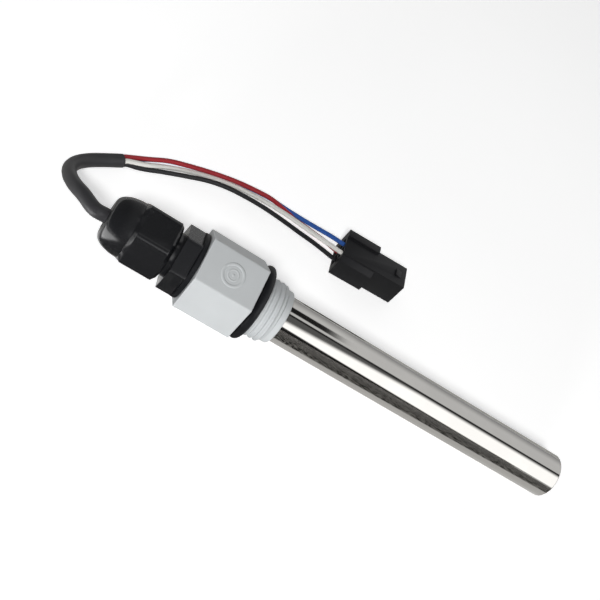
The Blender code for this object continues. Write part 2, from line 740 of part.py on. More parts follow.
def lens_mesh(name):
    """Round-nosed lens body with a rim and two leads, as one moulded component."""
    radius = LENS_DIAMETER / 2
    rim = radius + LENS_RIM
    outline = [
        (-LENS_LENGTH, 0),
        (-LENS_LENGTH, rim),
        (-LENS_LENGTH + LENS_RIM * 3, rim),
        (-LENS_LENGTH + LENS_RIM * 3, radius),
    ]
    for step in range(5):
        angle = math.radians(90) * step / 4
        outline.append((radius * (math.sin(angle) - 1), radius * math.cos(angle) if step < 4 else 0))
    bm = bmesh.new()
    verts = [bm.verts.new((p[0], 0, p[1])) for p in outline]
    edges = [bm.edges.new(pair) for pair in zip(verts, verts[1:])]
    bmesh.ops.spin(
        bm, geom=verts + edges, cent=(0, 0, 0), axis=(1, 0, 0), angle=math.tau, steps=20, use_merge=True
    )
    return finished_mesh(name, bm)


def lens_part(name, side, axis, finish):
    """Emitter or receiver: its leads run back and end just above the board."""
    lens_front = HOLDER_FRONT - GAP
    part = place(name, lens_mesh(name), axis, finish, (lens_front, side * LENS_SPACING / 2, 0))
    half = LEAD_THICKNESS / 2
    back = BOARD_FRONT - BOARD_TONGUE * 2 - lens_front
    lift = BOARD_TOP + BOARD_THICKNESS / 2 + GAP + half
    boxes = []
    for place_y in (-LEAD_SPACING, LEAD_SPACING):
        boxes.append(
            (
                (back, place_y - half, lift - half + GAP / 2),
                (-LENS_LENGTH + LENS_RIM, place_y + half, lift + half + GAP / 2),
            )
        )
    combine(part, "UNION", boxes_mesh(name + "_leads", boxes))


def circuit_board(axis, finish):
    """Narrow board whose tongue sits in the holder's slot."""
    boxes = (
        (
            (BOARD_FRONT - BOARD_LENGTH, -BOARD_WIDTH / 2, -BOARD_THICKNESS),
            (BOARD_FRONT, BOARD_WIDTH / 2, 0),
        ),
    )
    place("circuit_board", boxes_mesh("circuit_board", boxes), axis, finish)


def chip(axis, finish, name, place_x, place_y, length, width, height, legs):
    """Moulded chip with gull legs along both long sides."""
    stand = GAP
    body = (
        (place_x - length / 2, place_y - width / 2, stand),
        (place_x + length / 2, place_y + width / 2, stand + height),
    )
    part = place(name, boxes_mesh(name, (body,)), axis, finish)
    boxes = []
    for side, count in ((-1, legs[0]), (1, legs[1])):
        for leg in range(count):
            x = place_x + (leg - (count - 1) / 2) * length / max(legs)
            y_in = place_y + side * (width / 2 - GAP)
            y_out = place_y + side * (width / 2 + LEAD_THICKNESS * 1.6)
            boxes.append(
                (
                    (x - LEAD_THICKNESS / 2, min(y_in, y_out), stand),
                    (x + LEAD_THICKNESS / 2, max(y_in, y_out), stand + height / 2),
                )
            )
    combine(part, "UNION", boxes_mesh(name + "_legs", boxes))


def board_parts(axis, black, ceramic, tin):
    """Comparator, output transistor, two resistors and a capacitor in a row along the board."""
    first = BOARD_FRONT - BOARD_TONGUE * 4
    step = CHIP_LENGTH + CHIP_HEIGHT
    chip(axis, black, "comparator_chip", first - step / 2, 0, CHIP_LENGTH, CHIP_WIDTH, CHIP_HEIGHT, (4, 4))
    chip(
        axis,
        black,
        "output_transistor",
        first - step * 1.6,
        0,
        TRANSISTOR_LENGTH,
        TRANSISTOR_WIDTH,
        TRANSISTOR_HEIGHT,
        (2, 1),
    )
    for name, side in (("emitter_resistor", -1), ("load_resistor", 1)):
        y = side * (RESISTOR_WIDTH / 2 + GAP * 2)
        x = first - step * 2.5
        low = (x - RESISTOR_LENGTH / 2, y - RESISTOR_WIDTH / 2, GAP)
        high = (x + RESISTOR_LENGTH / 2, y + RESISTOR_WIDTH / 2, GAP + RESISTOR_HEIGHT)
        place(name, boxes_mesh(name, ((low, high),)), axis, ceramic)
    radius = CAPACITOR_DIAMETER / 2
    outline = rounded(
        (
            (0, 0, 0),
            (0, radius, radius / 8),
            (CAPACITOR_HEIGHT * 0.2, radius, 0),
            (CAPACITOR_HEIGHT * 0.26, radius * 0.93, 0),
            (CAPACITOR_HEIGHT * 0.32, radius, 0),
            (CAPACITOR_HEIGHT, radius, radius / 6),
            (CAPACITOR_HEIGHT, 0, 0),
        ),
        2,
    )
    mesh = turned_mesh("smoothing_capacitor", outline, 24)
    can = place("smoothing_capacitor", mesh, axis, tin, (first - step * 3.5, 0, GAP))
    can.rotation_euler = (0, math.radians(-90), 0)


def core_places(offset):
    """The four cores' places (y, z) round the axis."""
    return {
        "red": (offset, offset),
        "white": (-offset, offset),
        "blue": (offset, -offset),
        "black": (-offset, -offset),
    }


def inner_wires(axis, finishes):
    """The cable's four cores, from the cut sheath through the potting to the board."""
    start = SHEATH_START + GAP
    potted = TUBE_BACK + POTTING_LENGTH / 2
    pads = BOARD_FRONT - BOARD_LENGTH + WIRE_DIAMETER * 2
    pitch = BOARD_WIDTH / 4
    pad_order = {"red": 1.5, "blue": 0.5, "white": -0.5, "black": -1.5}
    for colour, (y, z) in core_places(CORE_OFFSET).items():
        wide_y, wide_z = core_places(POTTED_CORE_OFFSET)[colour]
        pad_y = pad_order[colour] * pitch
        lift = GAP + WIRE_DIAMETER / 2
        route = (
            (start, y, z),
            (start + 0.004, y, z),
            (potted - POTTING_LENGTH / 2 - 0.002, wide_y, wide_z),
            (potted, wide_y, wide_z),
            (potted + POTTING_LENGTH / 2 + 0.004, wide_y, wide_z),
            ((potted + pads) / 2, (wide_y + pad_y) / 2, (wide_z + lift) / 2 + (0.0006 if z > 0 else -0.0004)),
            (pads - 0.010, pad_y, lift + 0.0004),
            (pads - 0.004, pad_y, lift),
            (pads, pad_y, lift),
        )
        path = smooth_route(route, WIRE_DIAMETER * 2.6)
        cord("inner_wire_" + colour, path, WIRE_DIAMETER, axis, finishes[colour], 2)


def potting_plug(axis, finish):
    """Resin round the cores in the tube's rear end."""
    radius = TUBE_BORE_RADIUS - GAP
    end = TUBE_BACK + POTTING_LENGTH
    outline = ((TUBE_BACK, 0), (TUBE_BACK, radius), (end, radius), (end, 0))
    plug = place("potting_plug", turned_mesh("potting_plug", outline, 32), axis, finish)
    bm = bmesh.new()
    for y, z in core_places(POTTED_CORE_OFFSET).values():
        hole = bmesh.ops.create_cone(
            bm,
            cap_ends=True,
            segments=12,
            radius1=WIRE_DIAMETER / 2 + GAP,
            radius2=WIRE_DIAMETER / 2 + GAP,
            depth=POTTING_LENGTH * 1.5,
        )["verts"]
        bmesh.ops.rotate(bm, verts=hole, matrix=Matrix.Rotation(math.radians(90), 3, "Y"))
        bmesh.ops.translate(bm, verts=hole, vec=((TUBE_BACK + end) / 2, y, z))
    combine(plug, "DIFFERENCE", finished_mesh("core_holes", bm))


def on_surface(along):
    """A point of the probe axis, seen from the surface below the flange face."""
    return Vector(
        (along * math.cos(REST_TILT), 0, AXIS_HEIGHT - along * math.sin(REST_TILT))
    )


def cable_sheath(surface, finish):
    """The jacketed cable from inside the gland to where its jacket is cut."""
    inside = [on_surface(SHEATH_START + (GLAND_MOUTH - SHEATH_START) * k / 4) for k in range(5)]
    leaving = on_surface(GLAND_MOUTH - CABLE_DIAMETER * 0.9)
    route = smooth_route([*inside, leaving, *SHEATH_ROUTE], CABLE_DIAMETER * 1.2)
    cord("cable_sheath", route, CABLE_DIAMETER, surface, finish, 3)


def free_wires(surface, finishes):
    """The four wires from the cut jacket to their pins in the plug."""
    end = Vector(SHEATH_ROUTE[-1])
    ahead = (end - Vector(SHEATH_ROUTE[-2])).normalized()
    aside = Vector((-ahead.y, ahead.x, 0))
    routes = {"red": RED_ROUTE, "blue": BLUE_ROUTE, "white": WHITE_ROUTE, "black": BLACK_ROUTE}
    sides = {"red": (1, 1), "blue": (1, -1), "white": (-1, 1), "black": (-1, -1)}
    cavities = {"red": (1, -1), "blue": (1, 1), "white": (-1, 1), "black": (-1, -1)}
    for colour, route in routes.items():
        side, up = sides[colour]
        start = end + ahead * GAP + aside * side * CORE_OFFSET + Vector((0, 0, up * CORE_OFFSET))
        cavity_side, cavity_up = cavities[colour]
        y = PLUG_PLACE[1] + cavity_side * CAVITY_OFFSET
        z = PLUG_WIDTH / 2 + cavity_up * CAVITY_OFFSET
        rear = PLUG_PLACE[0] - PLUG_LENGTH / 2
        stop = PLUG_PLACE[0] + PIN_BACK - GAP
        path = [start, start + ahead * WIRE_DIAMETER, *route, (rear, y, z), (stop, y, z)]
        points = smooth_route(path, WIRE_DIAMETER * 2.6)
        cord("wire_" + colour, points, WIRE_DIAMETER, surface, finishes[colour], 2)


def plug_housing(surface, finish):
    """Four-way plug: shroud, side ribs at the rear, catch, wire cavities and a web between."""
    half = PLUG_WIDTH / 2
    front = PLUG_LENGTH / 2
    shell = ((-front, -half, 0.0), (front, half, PLUG_WIDTH))
    origin = (PLUG_PLACE[0], PLUG_PLACE[1], 0)
    plug = place("plug_housing", boxes_mesh("plug_housing", (shell,), PLUG_EDGE), surface, finish, origin)
    reach = half + RIB_OVERHANG
    inner = reach - RIB_WIDTH
    ribs = (
        (-reach, 0),
        (reach, 0),
        (reach, PLUG_WIDTH + RIB_RISE),
        (inner, PLUG_WIDTH + RIB_RISE),
        (inner, PLUG_WIDTH - PLUG_EDGE),
        (-half + PLUG_EDGE, PLUG_WIDTH - PLUG_EDGE),
        (-reach, PLUG_WIDTH - RIB_SLOPE),
    )
    combine(plug, "UNION", prism_mesh("plug_ribs", ribs, -front, -front + RIB_LENGTH))
    combine(plug, "UNION", catch_mesh())
    inside = half - PLUG_WALL
    cut_past = GAP
    boxes = [
        (
            (front - SOCKET_DEPTH, -inside, PLUG_WALL),
            (front + cut_past, inside, PLUG_WIDTH - PLUG_WALL),
        )
    ]
    holes = []
    for y, z in core_places(CAVITY_OFFSET).values():
        z += half
        size = PLUG_CAVITY / 2
        boxes.append(((-front - cut_past, y - size, z - size), (-front + BACK_DEPTH, y + size, z + size)))
        size = PIN_DIAMETER / 2 + GAP
        web = (-front + BACK_DEPTH - cut_past, front - SOCKET_DEPTH + cut_past)
        holes.append(((web[0], y - size, z - size), (web[1], y + size, z + size)))
    combine(plug, "DIFFERENCE", boxes_mesh("plug_cavities", boxes))
    combine(plug, "DIFFERENCE", boxes_mesh("pin_holes", holes))


def catch_mesh():
    """Wedge on the shroud that the mating half's latch rides over."""
    front = PLUG_LENGTH / 2 - CATCH_SETBACK
    half = CATCH_WIDTH / 2
    bm = bmesh.new()
    profile = (
        (front, PLUG_WIDTH - PLUG_EDGE),
        (front, PLUG_WIDTH + GAP / 3),
        (front - CATCH_LENGTH, PLUG_WIDTH + CATCH_RISE),
        (front - CATCH_LENGTH, PLUG_WIDTH - PLUG_EDGE),
    )
    face = bm.faces.new([bm.verts.new((x, -half, z)) for x, z in profile])
    pushed = bmesh.ops.extrude_face_region(bm, geom=[face])
    moved = [v for v in pushed["geom"] if isinstance(v, bmesh.types.BMVert)]
    bmesh.ops.translate(bm, verts=moved, vec=(0, CATCH_WIDTH, 0))
    return finished_mesh("plug_catch", bm)


def plug_pins(surface, finish):
    """Turned contact pins: a crimp barrel in the rear cavity and a round pin in the shroud."""
    barrel = PIN_BARREL_DIAMETER / 2
    pin = PIN_DIAMETER / 2
    web_end = PIN_BARREL_LENGTH + WEB_THICKNESS + PIN_REACH
    outline = (
        (0, 0),
        (0, barrel),
        (PIN_BARREL_LENGTH - GAP, barrel),
        (PIN_BARREL_LENGTH - GAP, pin),
        (web_end - pin, pin),
        (web_end, pin / 3),
        (web_end, 0),
    )
    for number, (y, z) in enumerate(core_places(CAVITY_OFFSET).values(), start=1):
        name = f"plug_pin_{number}"
        origin = (PLUG_PLACE[0] + PIN_BACK, PLUG_PLACE[1] + y, PLUG_WIDTH / 2 + z)
        place(name, turned_mesh(name, outline, 12), surface, finish, origin)


def build():
    clear_scene()
    steel = material("polished_steel", (0.62, 0.61, 0.59), 0.12, 1.0)
    white_plastic = material("white_plastic", (0.74, 0.75, 0.76), 0.42)
    black_plastic = material("black_nylon", (0.022, 0.023, 0.025), 0.38)
    plug_plastic = material("plug_nylon", (0.018, 0.018, 0.020), 0.45)
    rubber = material("black_rubber", (0.016, 0.016, 0.017), 0.55)
    jacket = material("black_jacket", (0.030, 0.031, 0.034), 0.42)
    clear = material("clear_polysulfone", (0.86, 0.84, 0.76), 0.05, 0.0, 0.9)
    resin = material("potting_resin", (0.03, 0.03, 0.03), 0.3)
    board_green = material("board_laminate", (0.03, 0.16, 0.07), 0.4)
    ceramic = material("ceramic", (0.05, 0.05, 0.06), 0.35)
    tin = material("tinned_metal", (0.75, 0.75, 0.74), 0.3, 1.0)
    emitter_clear = material("emitter_epoxy", (0.55, 0.60, 0.72), 0.1, 0.0, 0.6)
    receiver_dark = material("receiver_epoxy", (0.03, 0.02, 0.03), 0.15)
    wire_finishes = {
        "red": material("red_insulation", (0.62, 0.03, 0.04), 0.4),
        "white": material("white_insulation", (0.80, 0.80, 0.80), 0.4),
        "blue": material("blue_insulation", (0.03, 0.12, 0.55), 0.4),
        "black": material("black_insulation", (0.02, 0.02, 0.022), 0.4),
    }
    axis = empty("probe_axis", (FLANGE_X, 0, AXIS_HEIGHT), (REST_ROLL, REST_TILT, 0))
    surface = empty("surface_below_flange", (FLANGE_X, 0, 0))
    probe_tube(axis, steel)
    threaded_head(axis, white_plastic)
    head_gasket(axis, rubber)
    gland_washer(axis, rubber)
    gland_body(axis, black_plastic)
    gland_seal(axis, rubber)
    gland_nut(axis, black_plastic)
    sensing_prism(axis, clear)
    prism_seal_ring(axis, rubber)
    optics_holder(axis, plug_plastic)
    lens_part("infrared_emitter", 1, axis, emitter_clear)
    lens_part("photo_receiver", -1, axis, receiver_dark)
    circuit_board(axis, board_green)
    board_parts(axis, plug_plastic, ceramic, tin)
    inner_wires(axis, wire_finishes)
    potting_plug(axis, resin)
    cable_sheath(surface, jacket)
    free_wires(surface, wire_finishes)
    plug_housing(surface, plug_plastic)
    plug_pins(surface, tin)


build()
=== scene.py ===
"""Looks of an optical level sensor: steel probe, plastic screw-in head, cable gland and a
short lead with a plug."""

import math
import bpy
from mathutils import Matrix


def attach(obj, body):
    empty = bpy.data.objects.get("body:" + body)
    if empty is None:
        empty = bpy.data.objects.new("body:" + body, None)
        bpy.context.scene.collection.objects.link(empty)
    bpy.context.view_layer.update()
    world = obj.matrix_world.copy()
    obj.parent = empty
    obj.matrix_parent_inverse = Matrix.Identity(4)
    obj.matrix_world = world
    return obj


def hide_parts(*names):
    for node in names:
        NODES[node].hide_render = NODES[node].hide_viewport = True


bl_info = {
    "name": "Level Sensor Looks",
    "version": (1, 0, 0),
    "blender": (4, 5, 0),
    "location": "View3D > Sidebar > Level Sensor",
    "description": "Builds the visible pieces of a rod-shaped optical level sensor and its stage",
    "category": "Object",
}

import bmesh
import bpy
from bpy.props import FloatProperty, FloatVectorProperty, IntProperty, PointerProperty
from mathutils import Matrix, Vector

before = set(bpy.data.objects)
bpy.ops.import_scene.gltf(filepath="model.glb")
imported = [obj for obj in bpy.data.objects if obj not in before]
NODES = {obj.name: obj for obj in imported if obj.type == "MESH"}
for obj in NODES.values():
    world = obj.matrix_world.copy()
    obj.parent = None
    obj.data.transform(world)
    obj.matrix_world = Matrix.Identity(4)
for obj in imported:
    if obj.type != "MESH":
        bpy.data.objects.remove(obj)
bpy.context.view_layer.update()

# The probe's own axes: it dips to its nose and is rolled onto a corner of the hexagon, both
# in radians, about the middle of the flange
ROLL = math.radians(24.0)
DIP = 0.04761025
FLANGE = Vector((-0.03964544, 0.0, 0.01394518))
AXIS = Matrix.Translation(FLANGE) @ Matrix.Rotation(DIP, 4, "Y") @ Matrix.Rotation(ROLL, 4, "X")
FLANGE_FOOT = Vector((FLANGE.x, 0.0, 0.0))
BLACK = (0.0, 0.0, 0.0)
WHITE = (1.0, 1.0, 1.0)


# Settings


def number(name, description, default, unit="LENGTH"):
    return FloatProperty(name=name, description=description, default=default, unit=unit)


def tint(name, description, default):
    return FloatVectorProperty(
        name=name, description=description, default=default, subtype="COLOR"
    )


class ProbeSettings(bpy.types.PropertyGroup):
    diameter: number("Tube diameter", "Outside of the probe tube", 0.016)
    wall: number("Tube wall", "Wall of the probe tube", 0.001)
    reach: number("Reach", "Flange face to nose", 0.1255)
    back: number("Back end", "Place of the tube's end in the head", -0.00635)
    segments: IntProperty(
        name="Segments", description="Faces round the tube", default=144, min=24
    )
    steel: tint("Steel", "Colour of the polished steel", (0.515, 0.505, 0.485))


class HeadSettings(bpy.types.PropertyGroup):
    across: number("Across flats", "Spanner size of the head", 0.0245)
    length: number("Hexagon length", "Length of the hexagon", 0.0198)
    spigot: number("Spigot end", "Flange face to spigot end", 0.01195)
    pitch: number("Thread pitch", "Pitch of the pipe thread", 0.001814)
    root: number("Thread root", "Radius at the thread root", 0.00915)
    crest: number("Thread crest", "Radius at the crest", 0.01031)
    seal_section: number("Seal section", "Thickness of the sealing ring", 0.0029)
    plastic: tint("Head plastic", "Colour of the white moulding", (0.540, 0.560, 0.568))


class GlandSettings(bpy.types.PropertyGroup):
    body_across: number("Body across flats", "Spanner size of the gland body", 0.0194)
    nut_across: number("Nut across flats", "Spanner size of the domed nut", 0.0196)
    nut_length: number("Nut hexagon", "Length of the nut's hexagon", 0.0128)
    dome: number("Dome", "Length of the nut's dome", 0.0084)
    plastic: tint("Gland plastic", "Colour of the black gland", (0.0094, 0.0098, 0.0112))


class LeadSettings(bpy.types.PropertyGroup):
    cable: number("Cable diameter", "Outside of the jacket", 0.0047)
    wire: number("Wire diameter", "Outside of each wire", 0.0017)
    jacket: tint("Jacket", "Colour of the cable jacket", (0.034, 0.0335, 0.0365))
    red: tint("Red wire", "Colour of the red wire", (0.38, 0.026, 0.034))
    white: tint("White wire", "Colour of the white wire", (0.87, 0.86, 0.82))
    blue: tint("Blue wire", "Colour of the blue wire", (0.035, 0.115, 0.42))
    black: tint("Black wire", "Colour of the black wire", (0.018, 0.018, 0.020))


class PlugSettings(bpy.types.PropertyGroup):
    width: number("Plug width", "Side of the square shroud", 0.0104)
    length: number("Plug length", "Length of the plug", 0.0264)
    plastic: tint("Plug plastic", "Colour of the plug", (0.0116, 0.0118, 0.0134))


class StageSettings(bpy.types.PropertyGroup):
    floor: tint("Floor", "Colour of the pale floor", (0.98, 0.98, 0.98))
    low: number("Low light", "Power of the low front softbox", 7.2, "POWER")
    high: number("High light", "Power of the high softbox", 7.3, "POWER")
    fill: number("Room light", "Strength of the even room light", 0.11, "NONE")
    glow: number("Floor glow", "Lift of the floor to white as seen", 0.51, "NONE")
    lens: number("Lens", "Focal length", 52.03, "CAMERA")


SETTINGS = {
    "sensor_probe": ProbeSettings,
    "sensor_head": HeadSettings,
    "sensor_gland": GlandSettings,
    "sensor_lead": LeadSettings,
    "sensor_plug": PlugSettings,
    "sensor_stage": StageSettings,
}


# Shader maths


class Socket:
    """A shader value; arithmetic on it adds Math nodes to its material."""

    def __init__(self, shader, link):
        self.shader = shader
        self.link = link

    def maths(self, operation, other):
        return self.shader.node("ShaderNodeMath", {"operation": operation}, {0: self, 1: other})

    def __add__(self, other):
        return self.maths("ADD", other)

    __radd__ = __add__

    def __sub__(self, other):
        return self.maths("SUBTRACT", other)

    def __rsub__(self, other):
        return self.shader.node("ShaderNodeMath", {"operation": "SUBTRACT"}, {0: other, 1: self})

    def __mul__(self, other):
        return self.maths("MULTIPLY", other)

    __rmul__ = __mul__

    def between(self, low, high):
        """0 below low, 1 above high, and smooth between them."""
        return self.shader.node(
            "ShaderNodeMapRange",
            {"interpolation_type": "SMOOTHSTEP"},
            {"Value": self, "From Min": low, "From Max": high},
        )

    def beside(self, name):
        """Another output of the node that this value comes from."""
        return Socket(self.shader, self.link.node.outputs[name])


class Shader:
    """A material or world whose nodes are made by one method."""

    def __init__(self, name, world=False):
        made = bpy.data.worlds.new(name) if world else bpy.data.materials.new(name)
        made.use_nodes = True
        self.block = made
        self.tree = made.node_tree
        self.surface = None if world else self.tree.nodes["Principled BSDF"]

    def node(self, kind, settings=None, values=None, out=0):
        """Adds a node, sets it, fills its sockets with numbers or links, and returns one output."""
        made = self.tree.nodes.new(kind)
        for key, value in (settings or {}).items():
            setattr(made, key, value)
        for key, value in (values or {}).items():
            self.feed(made.inputs[key], value)
        return Socket(self, made.outputs[out])

    def feed(self, socket, value):
        if isinstance(value, Socket):
            self.tree.links.new(value.link, socket)
        elif socket.type == "RGBA":
            socket.default_value = (*value, 1.0)
        else:
            socket.default_value = value

    def set(self, **sockets):
        """Feeds the surface's sockets, named with underscores for spaces."""
        for key, value in sockets.items():
            self.feed(self.surface.inputs[key.replace("_", " ")], value)

    def place(self):
        return self.node("ShaderNodeTexCoord", out="Object")

    def axes(self, where):
        """The X, Y and Z of a place or a direction."""
        x = self.node("ShaderNodeSeparateXYZ", None, {0: where}, "X")
        return x, x.beside("Y"), x.beside("Z")

    def along_probe(self):
        """Object coordinates turned into the probe's own axes."""
        turned = AXIS.inverted()
        values = {"Vector": self.place(), "Location": turned.translation}
        values["Rotation"] = turned.to_euler("XYZ")
        return self.node("ShaderNodeMapping", {"vector_type": "POINT"}, values)

    def stretched(self, where, scale):
        values = {"Vector": where, "Scale": scale}
        return self.node("ShaderNodeMapping", {"vector_type": "POINT"}, values)

    def noise(self, where, scale, detail=2.0, roughness=0.5, distortion=0.0):
        values = {"Vector": where, "Scale": scale, "Detail": detail}
        values.update({"Roughness": roughness, "Distortion": distortion})
        return self.node("ShaderNodeTexNoise", None, values, "Fac")

    def cells(self, where, scale, feature="F1"):
        values = {"Vector": where, "Scale": scale}
        return self.node("ShaderNodeTexVoronoi", {"feature": feature}, values, "Distance")

    def mix(self, factor, a, b):
        """Colour a turned into colour b by a factor; 6, 7 and 2 are the node's colour sockets."""
        values = {"Factor": factor, 6: a, 7: b}
        return self.node("ShaderNodeMix", {"data_type": "RGBA"}, values, 2)

    def bump(self, height, distance, strength=1.0, under=None):
        values = {"Height": height, "Distance": distance, "Strength": strength}
        if under is not None:
            values["Normal"] = under
        return self.node("ShaderNodeBump", None, values, "Normal")


def shade(colour, factor):
    return tuple(c * factor for c in colour)


def steel_finish(colour):
    s = Shader("polished_steel_finish")
    where = s.along_probe()
    drawn = s.noise(s.stretched(where, (14, 2600, 2600)), 1.0, 3.0, 0.6)
    fine = s.noise(s.stretched(where, (60, 7000, 7000)), 1.0, 2.0, 0.5)
    haze = s.noise(where, 55.0, 4.0, 0.6)
    pits = s.cells(where, 900.0).between(0.06, 0.0)
    s.set(
        Base_Color=s.mix(haze.between(0.35, 0.75), shade(colour, 0.97), shade(colour, 1.04)),
        Metallic=1.0,
        Roughness=0.035 + drawn * 0.04 + haze.between(0.45, 0.8) * 0.05 + pits * 0.12,
        Normal=s.bump(drawn * 0.6 + fine * 0.4 - pits * 0.5, 0.0000022),
    )
    return s.block


def white_plastic_finish(colour):
    s = Shader("white_moulding_finish")
    where = s.along_probe()
    grain = s.noise(where, 5200.0, 2.0, 0.6)
    wave = s.noise(where, 190.0, 2.0, 0.5)
    cloud = s.noise(where, 70.0, 3.0, 0.6)
    specks = s.cells(where, 420.0).between(0.05, 0.02)
    tone = s.mix(cloud.between(0.3, 0.75), shade(colour, 0.985), shade(colour, 1.03))
    s.set(
        Base_Color=s.mix(specks * 0.12, tone, (0.36, 0.34, 0.31)),
        Roughness=0.42 + cloud * 0.08 + grain * 0.06,
        Specular_IOR_Level=0.42,
        Normal=s.bump(wave, 0.00004, 0.25, s.bump(grain, 0.000006, 0.5)),
    )
    return s.block


def black_plastic_finish(name, colour, gloss, grain_height, shine):
    """Moulded black plastic: fine grain, soft flow marks, dull rubbed spots and dust."""
    s = Shader(name)
    where = s.place()
    grain = s.noise(where, 4300.0, 2.0, 0.55)
    flow = s.noise(s.stretched(where, (70, 190, 190)), 1.0, 4.0, 0.6, 0.6)
    rubbed = s.noise(where, 260.0, 4.0, 0.65).between(0.52, 0.8)
    dust = s.cells(where, 650.0).between(0.075, 0.03) * s.noise(where, 90.0).between(0.45, 0.62)
    tone = s.mix(rubbed * 0.6, colour, shade(colour, 1.55))
    s.set(
        Base_Color=s.mix(dust * 0.10, tone, (0.30, 0.29, 0.28)),
        Roughness=gloss + flow * 0.07 + rubbed * 0.08 + dust * 0.2,
        Specular_IOR_Level=shine,
        Normal=s.bump(grain, grain_height, 0.7, s.bump(flow, 0.00003, 0.3)),
    )
    return s.block


def rubber_finish():
    s = Shader("seal_rubber_finish")
    where = s.along_probe()
    grain = s.noise(where, 3600.0, 3.0, 0.6)
    bloom = s.noise(where, 240.0, 4.0, 0.6).between(0.45, 0.8)
    specks = s.cells(where, 520.0).between(0.06, 0.02)
    dark, bloomed = (0.0075, 0.0080, 0.0095), (0.020, 0.020, 0.022)
    s.set(
        Base_Color=s.mix(bloom * 0.5 + specks * 0.2, dark, bloomed),
        Roughness=0.46 + bloom * 0.14,
        Specular_IOR_Level=0.28,
        Normal=s.bump(grain, 0.000009, 0.6),
    )
    return s.block


def sleeve_finish(name, colour, gloss, soiling):
    """Extruded cable plastic: slight ripple, smudges and a soft sheen."""
    s = Shader(name)
    where = s.place()
    ripple = s.noise(where, 900.0, 2.0, 0.5)
    grain = s.noise(where, 5200.0, 2.0, 0.5)
    smudge = s.noise(where, 210.0, 4.0, 0.65).between(0.5, 0.85)
    s.set(
        Base_Color=s.mix(smudge * soiling, colour, tuple(0.55 * c + 0.04 for c in colour)),
        Roughness=gloss + ripple * 0.08 + smudge * 0.12,
        Specular_IOR_Level=0.35,
        Normal=s.bump(grain, 0.000004, 0.5, s.bump(ripple, 0.00002, 0.35)),
    )
    return s.block


def clear_finish():
    s = Shader("clear_prism_finish")
    where = s.along_probe()
    haze = s.noise(where, 380.0, 4.0, 0.6)
    s.set(
        Base_Color=(0.93, 0.91, 0.84),
        Roughness=0.02 + haze.between(0.5, 0.85) * 0.05,
        IOR=1.63,
        Transmission_Weight=0.95,
        Normal=s.bump(haze, 0.000004, 0.4),
    )
    return s.block


def resin_finish(name, colour, gloss):
    s = Shader(name)
    where = s.place()
    swirl = s.noise(where, 320.0, 4.0, 0.6, 0.8)
    pits = s.cells(where, 1300.0).between(0.12, 0.04)
    s.set(
        Base_Color=s.mix(swirl, shade(colour, 0.8), shade(colour, 1.25)),
        Roughness=gloss + swirl * 0.1,
        Coat_Weight=0.15,
        Normal=s.bump(swirl - pits * 0.6, 0.00003, 0.5),
    )
    return s.block


def board_finish():
    s = Shader("circuit_board_finish")
    where = s.along_probe()
    weave = s.node(
        "ShaderNodeTexWave",
        {"wave_type": "BANDS", "bands_direction": "DIAGONAL"},
        {"Vector": where, "Scale": 900.0, "Distortion": 1.5, "Detail": 2.0},
        "Fac",
    )
    track = s.cells(s.stretched(where, (260, 620, 1)), 1.0, "DISTANCE_TO_EDGE").between(0.05, 0.09)
    green = s.mix(weave, (0.012, 0.085, 0.035), (0.016, 0.110, 0.045))
    s.set(
        Base_Color=s.mix(track, (0.030, 0.190, 0.080), green),
        Roughness=0.32 + weave * 0.08,
        Normal=s.bump(track * -1.0 + weave * 0.2, 0.00002, 0.5),
    )
    return s.block


def metal_finish(name, colour, gloss):
    s = Shader(name)
    where = s.place()
    brushed = s.noise(s.stretched(where, (400, 4200, 4200)), 1.0, 3.0, 0.6)
    stain = s.noise(where, 500.0, 3.0, 0.6)
    s.set(
        Base_Color=s.mix(stain, shade(colour, 0.86), colour),
        Metallic=1.0,
        Roughness=gloss + brushed * 0.10 + stain * 0.08,
        Normal=s.bump(brushed, 0.000004, 0.5),
    )
    return s.block


# Shapes


def placed(name, data):
    """Puts a shape, lamp or camera into the scene."""
    made = bpy.data.objects.new(name, data)
    bpy.context.scene.collection.objects.link(made)
    return made


def link(name, data, finish_used, slot, replaced, body="sensor"):
    """Shows a finished shape as a piece on a body, in place of its plain solid."""
    made = placed(name, data)
    data.materials.clear()
    data.materials.append(finish_used)
    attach(made, body)
    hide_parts(replaced)
    return made


def paint(used, *names):
    """Gives plain solids a finish."""
    for name in names:
        NODES[name].data.materials[0] = used


def as_mesh(name, bm):
    mesh = bpy.data.meshes.new(name)
    bm.to_mesh(mesh)
    bm.free()
    return mesh


def smoothed(mesh, sharp):
    """Shades a mesh smooth but for edges over the angle sharp, in degrees."""
    mesh.shade_smooth()
    mesh.set_sharp_from_angle(angle=math.radians(sharp))
    return mesh


def meshed(name, bm, matrix, sharp=35.0, weld=1e-7):
    """Welds, orients, places and shades a shape."""
    bmesh.ops.remove_doubles(bm, verts=bm.verts, dist=weld)
    bmesh.ops.recalc_face_normals(bm, faces=bm.faces)
    bmesh.ops.transform(bm, matrix=matrix, verts=bm.verts)
    return smoothed(as_mesh(name, bm), sharp)


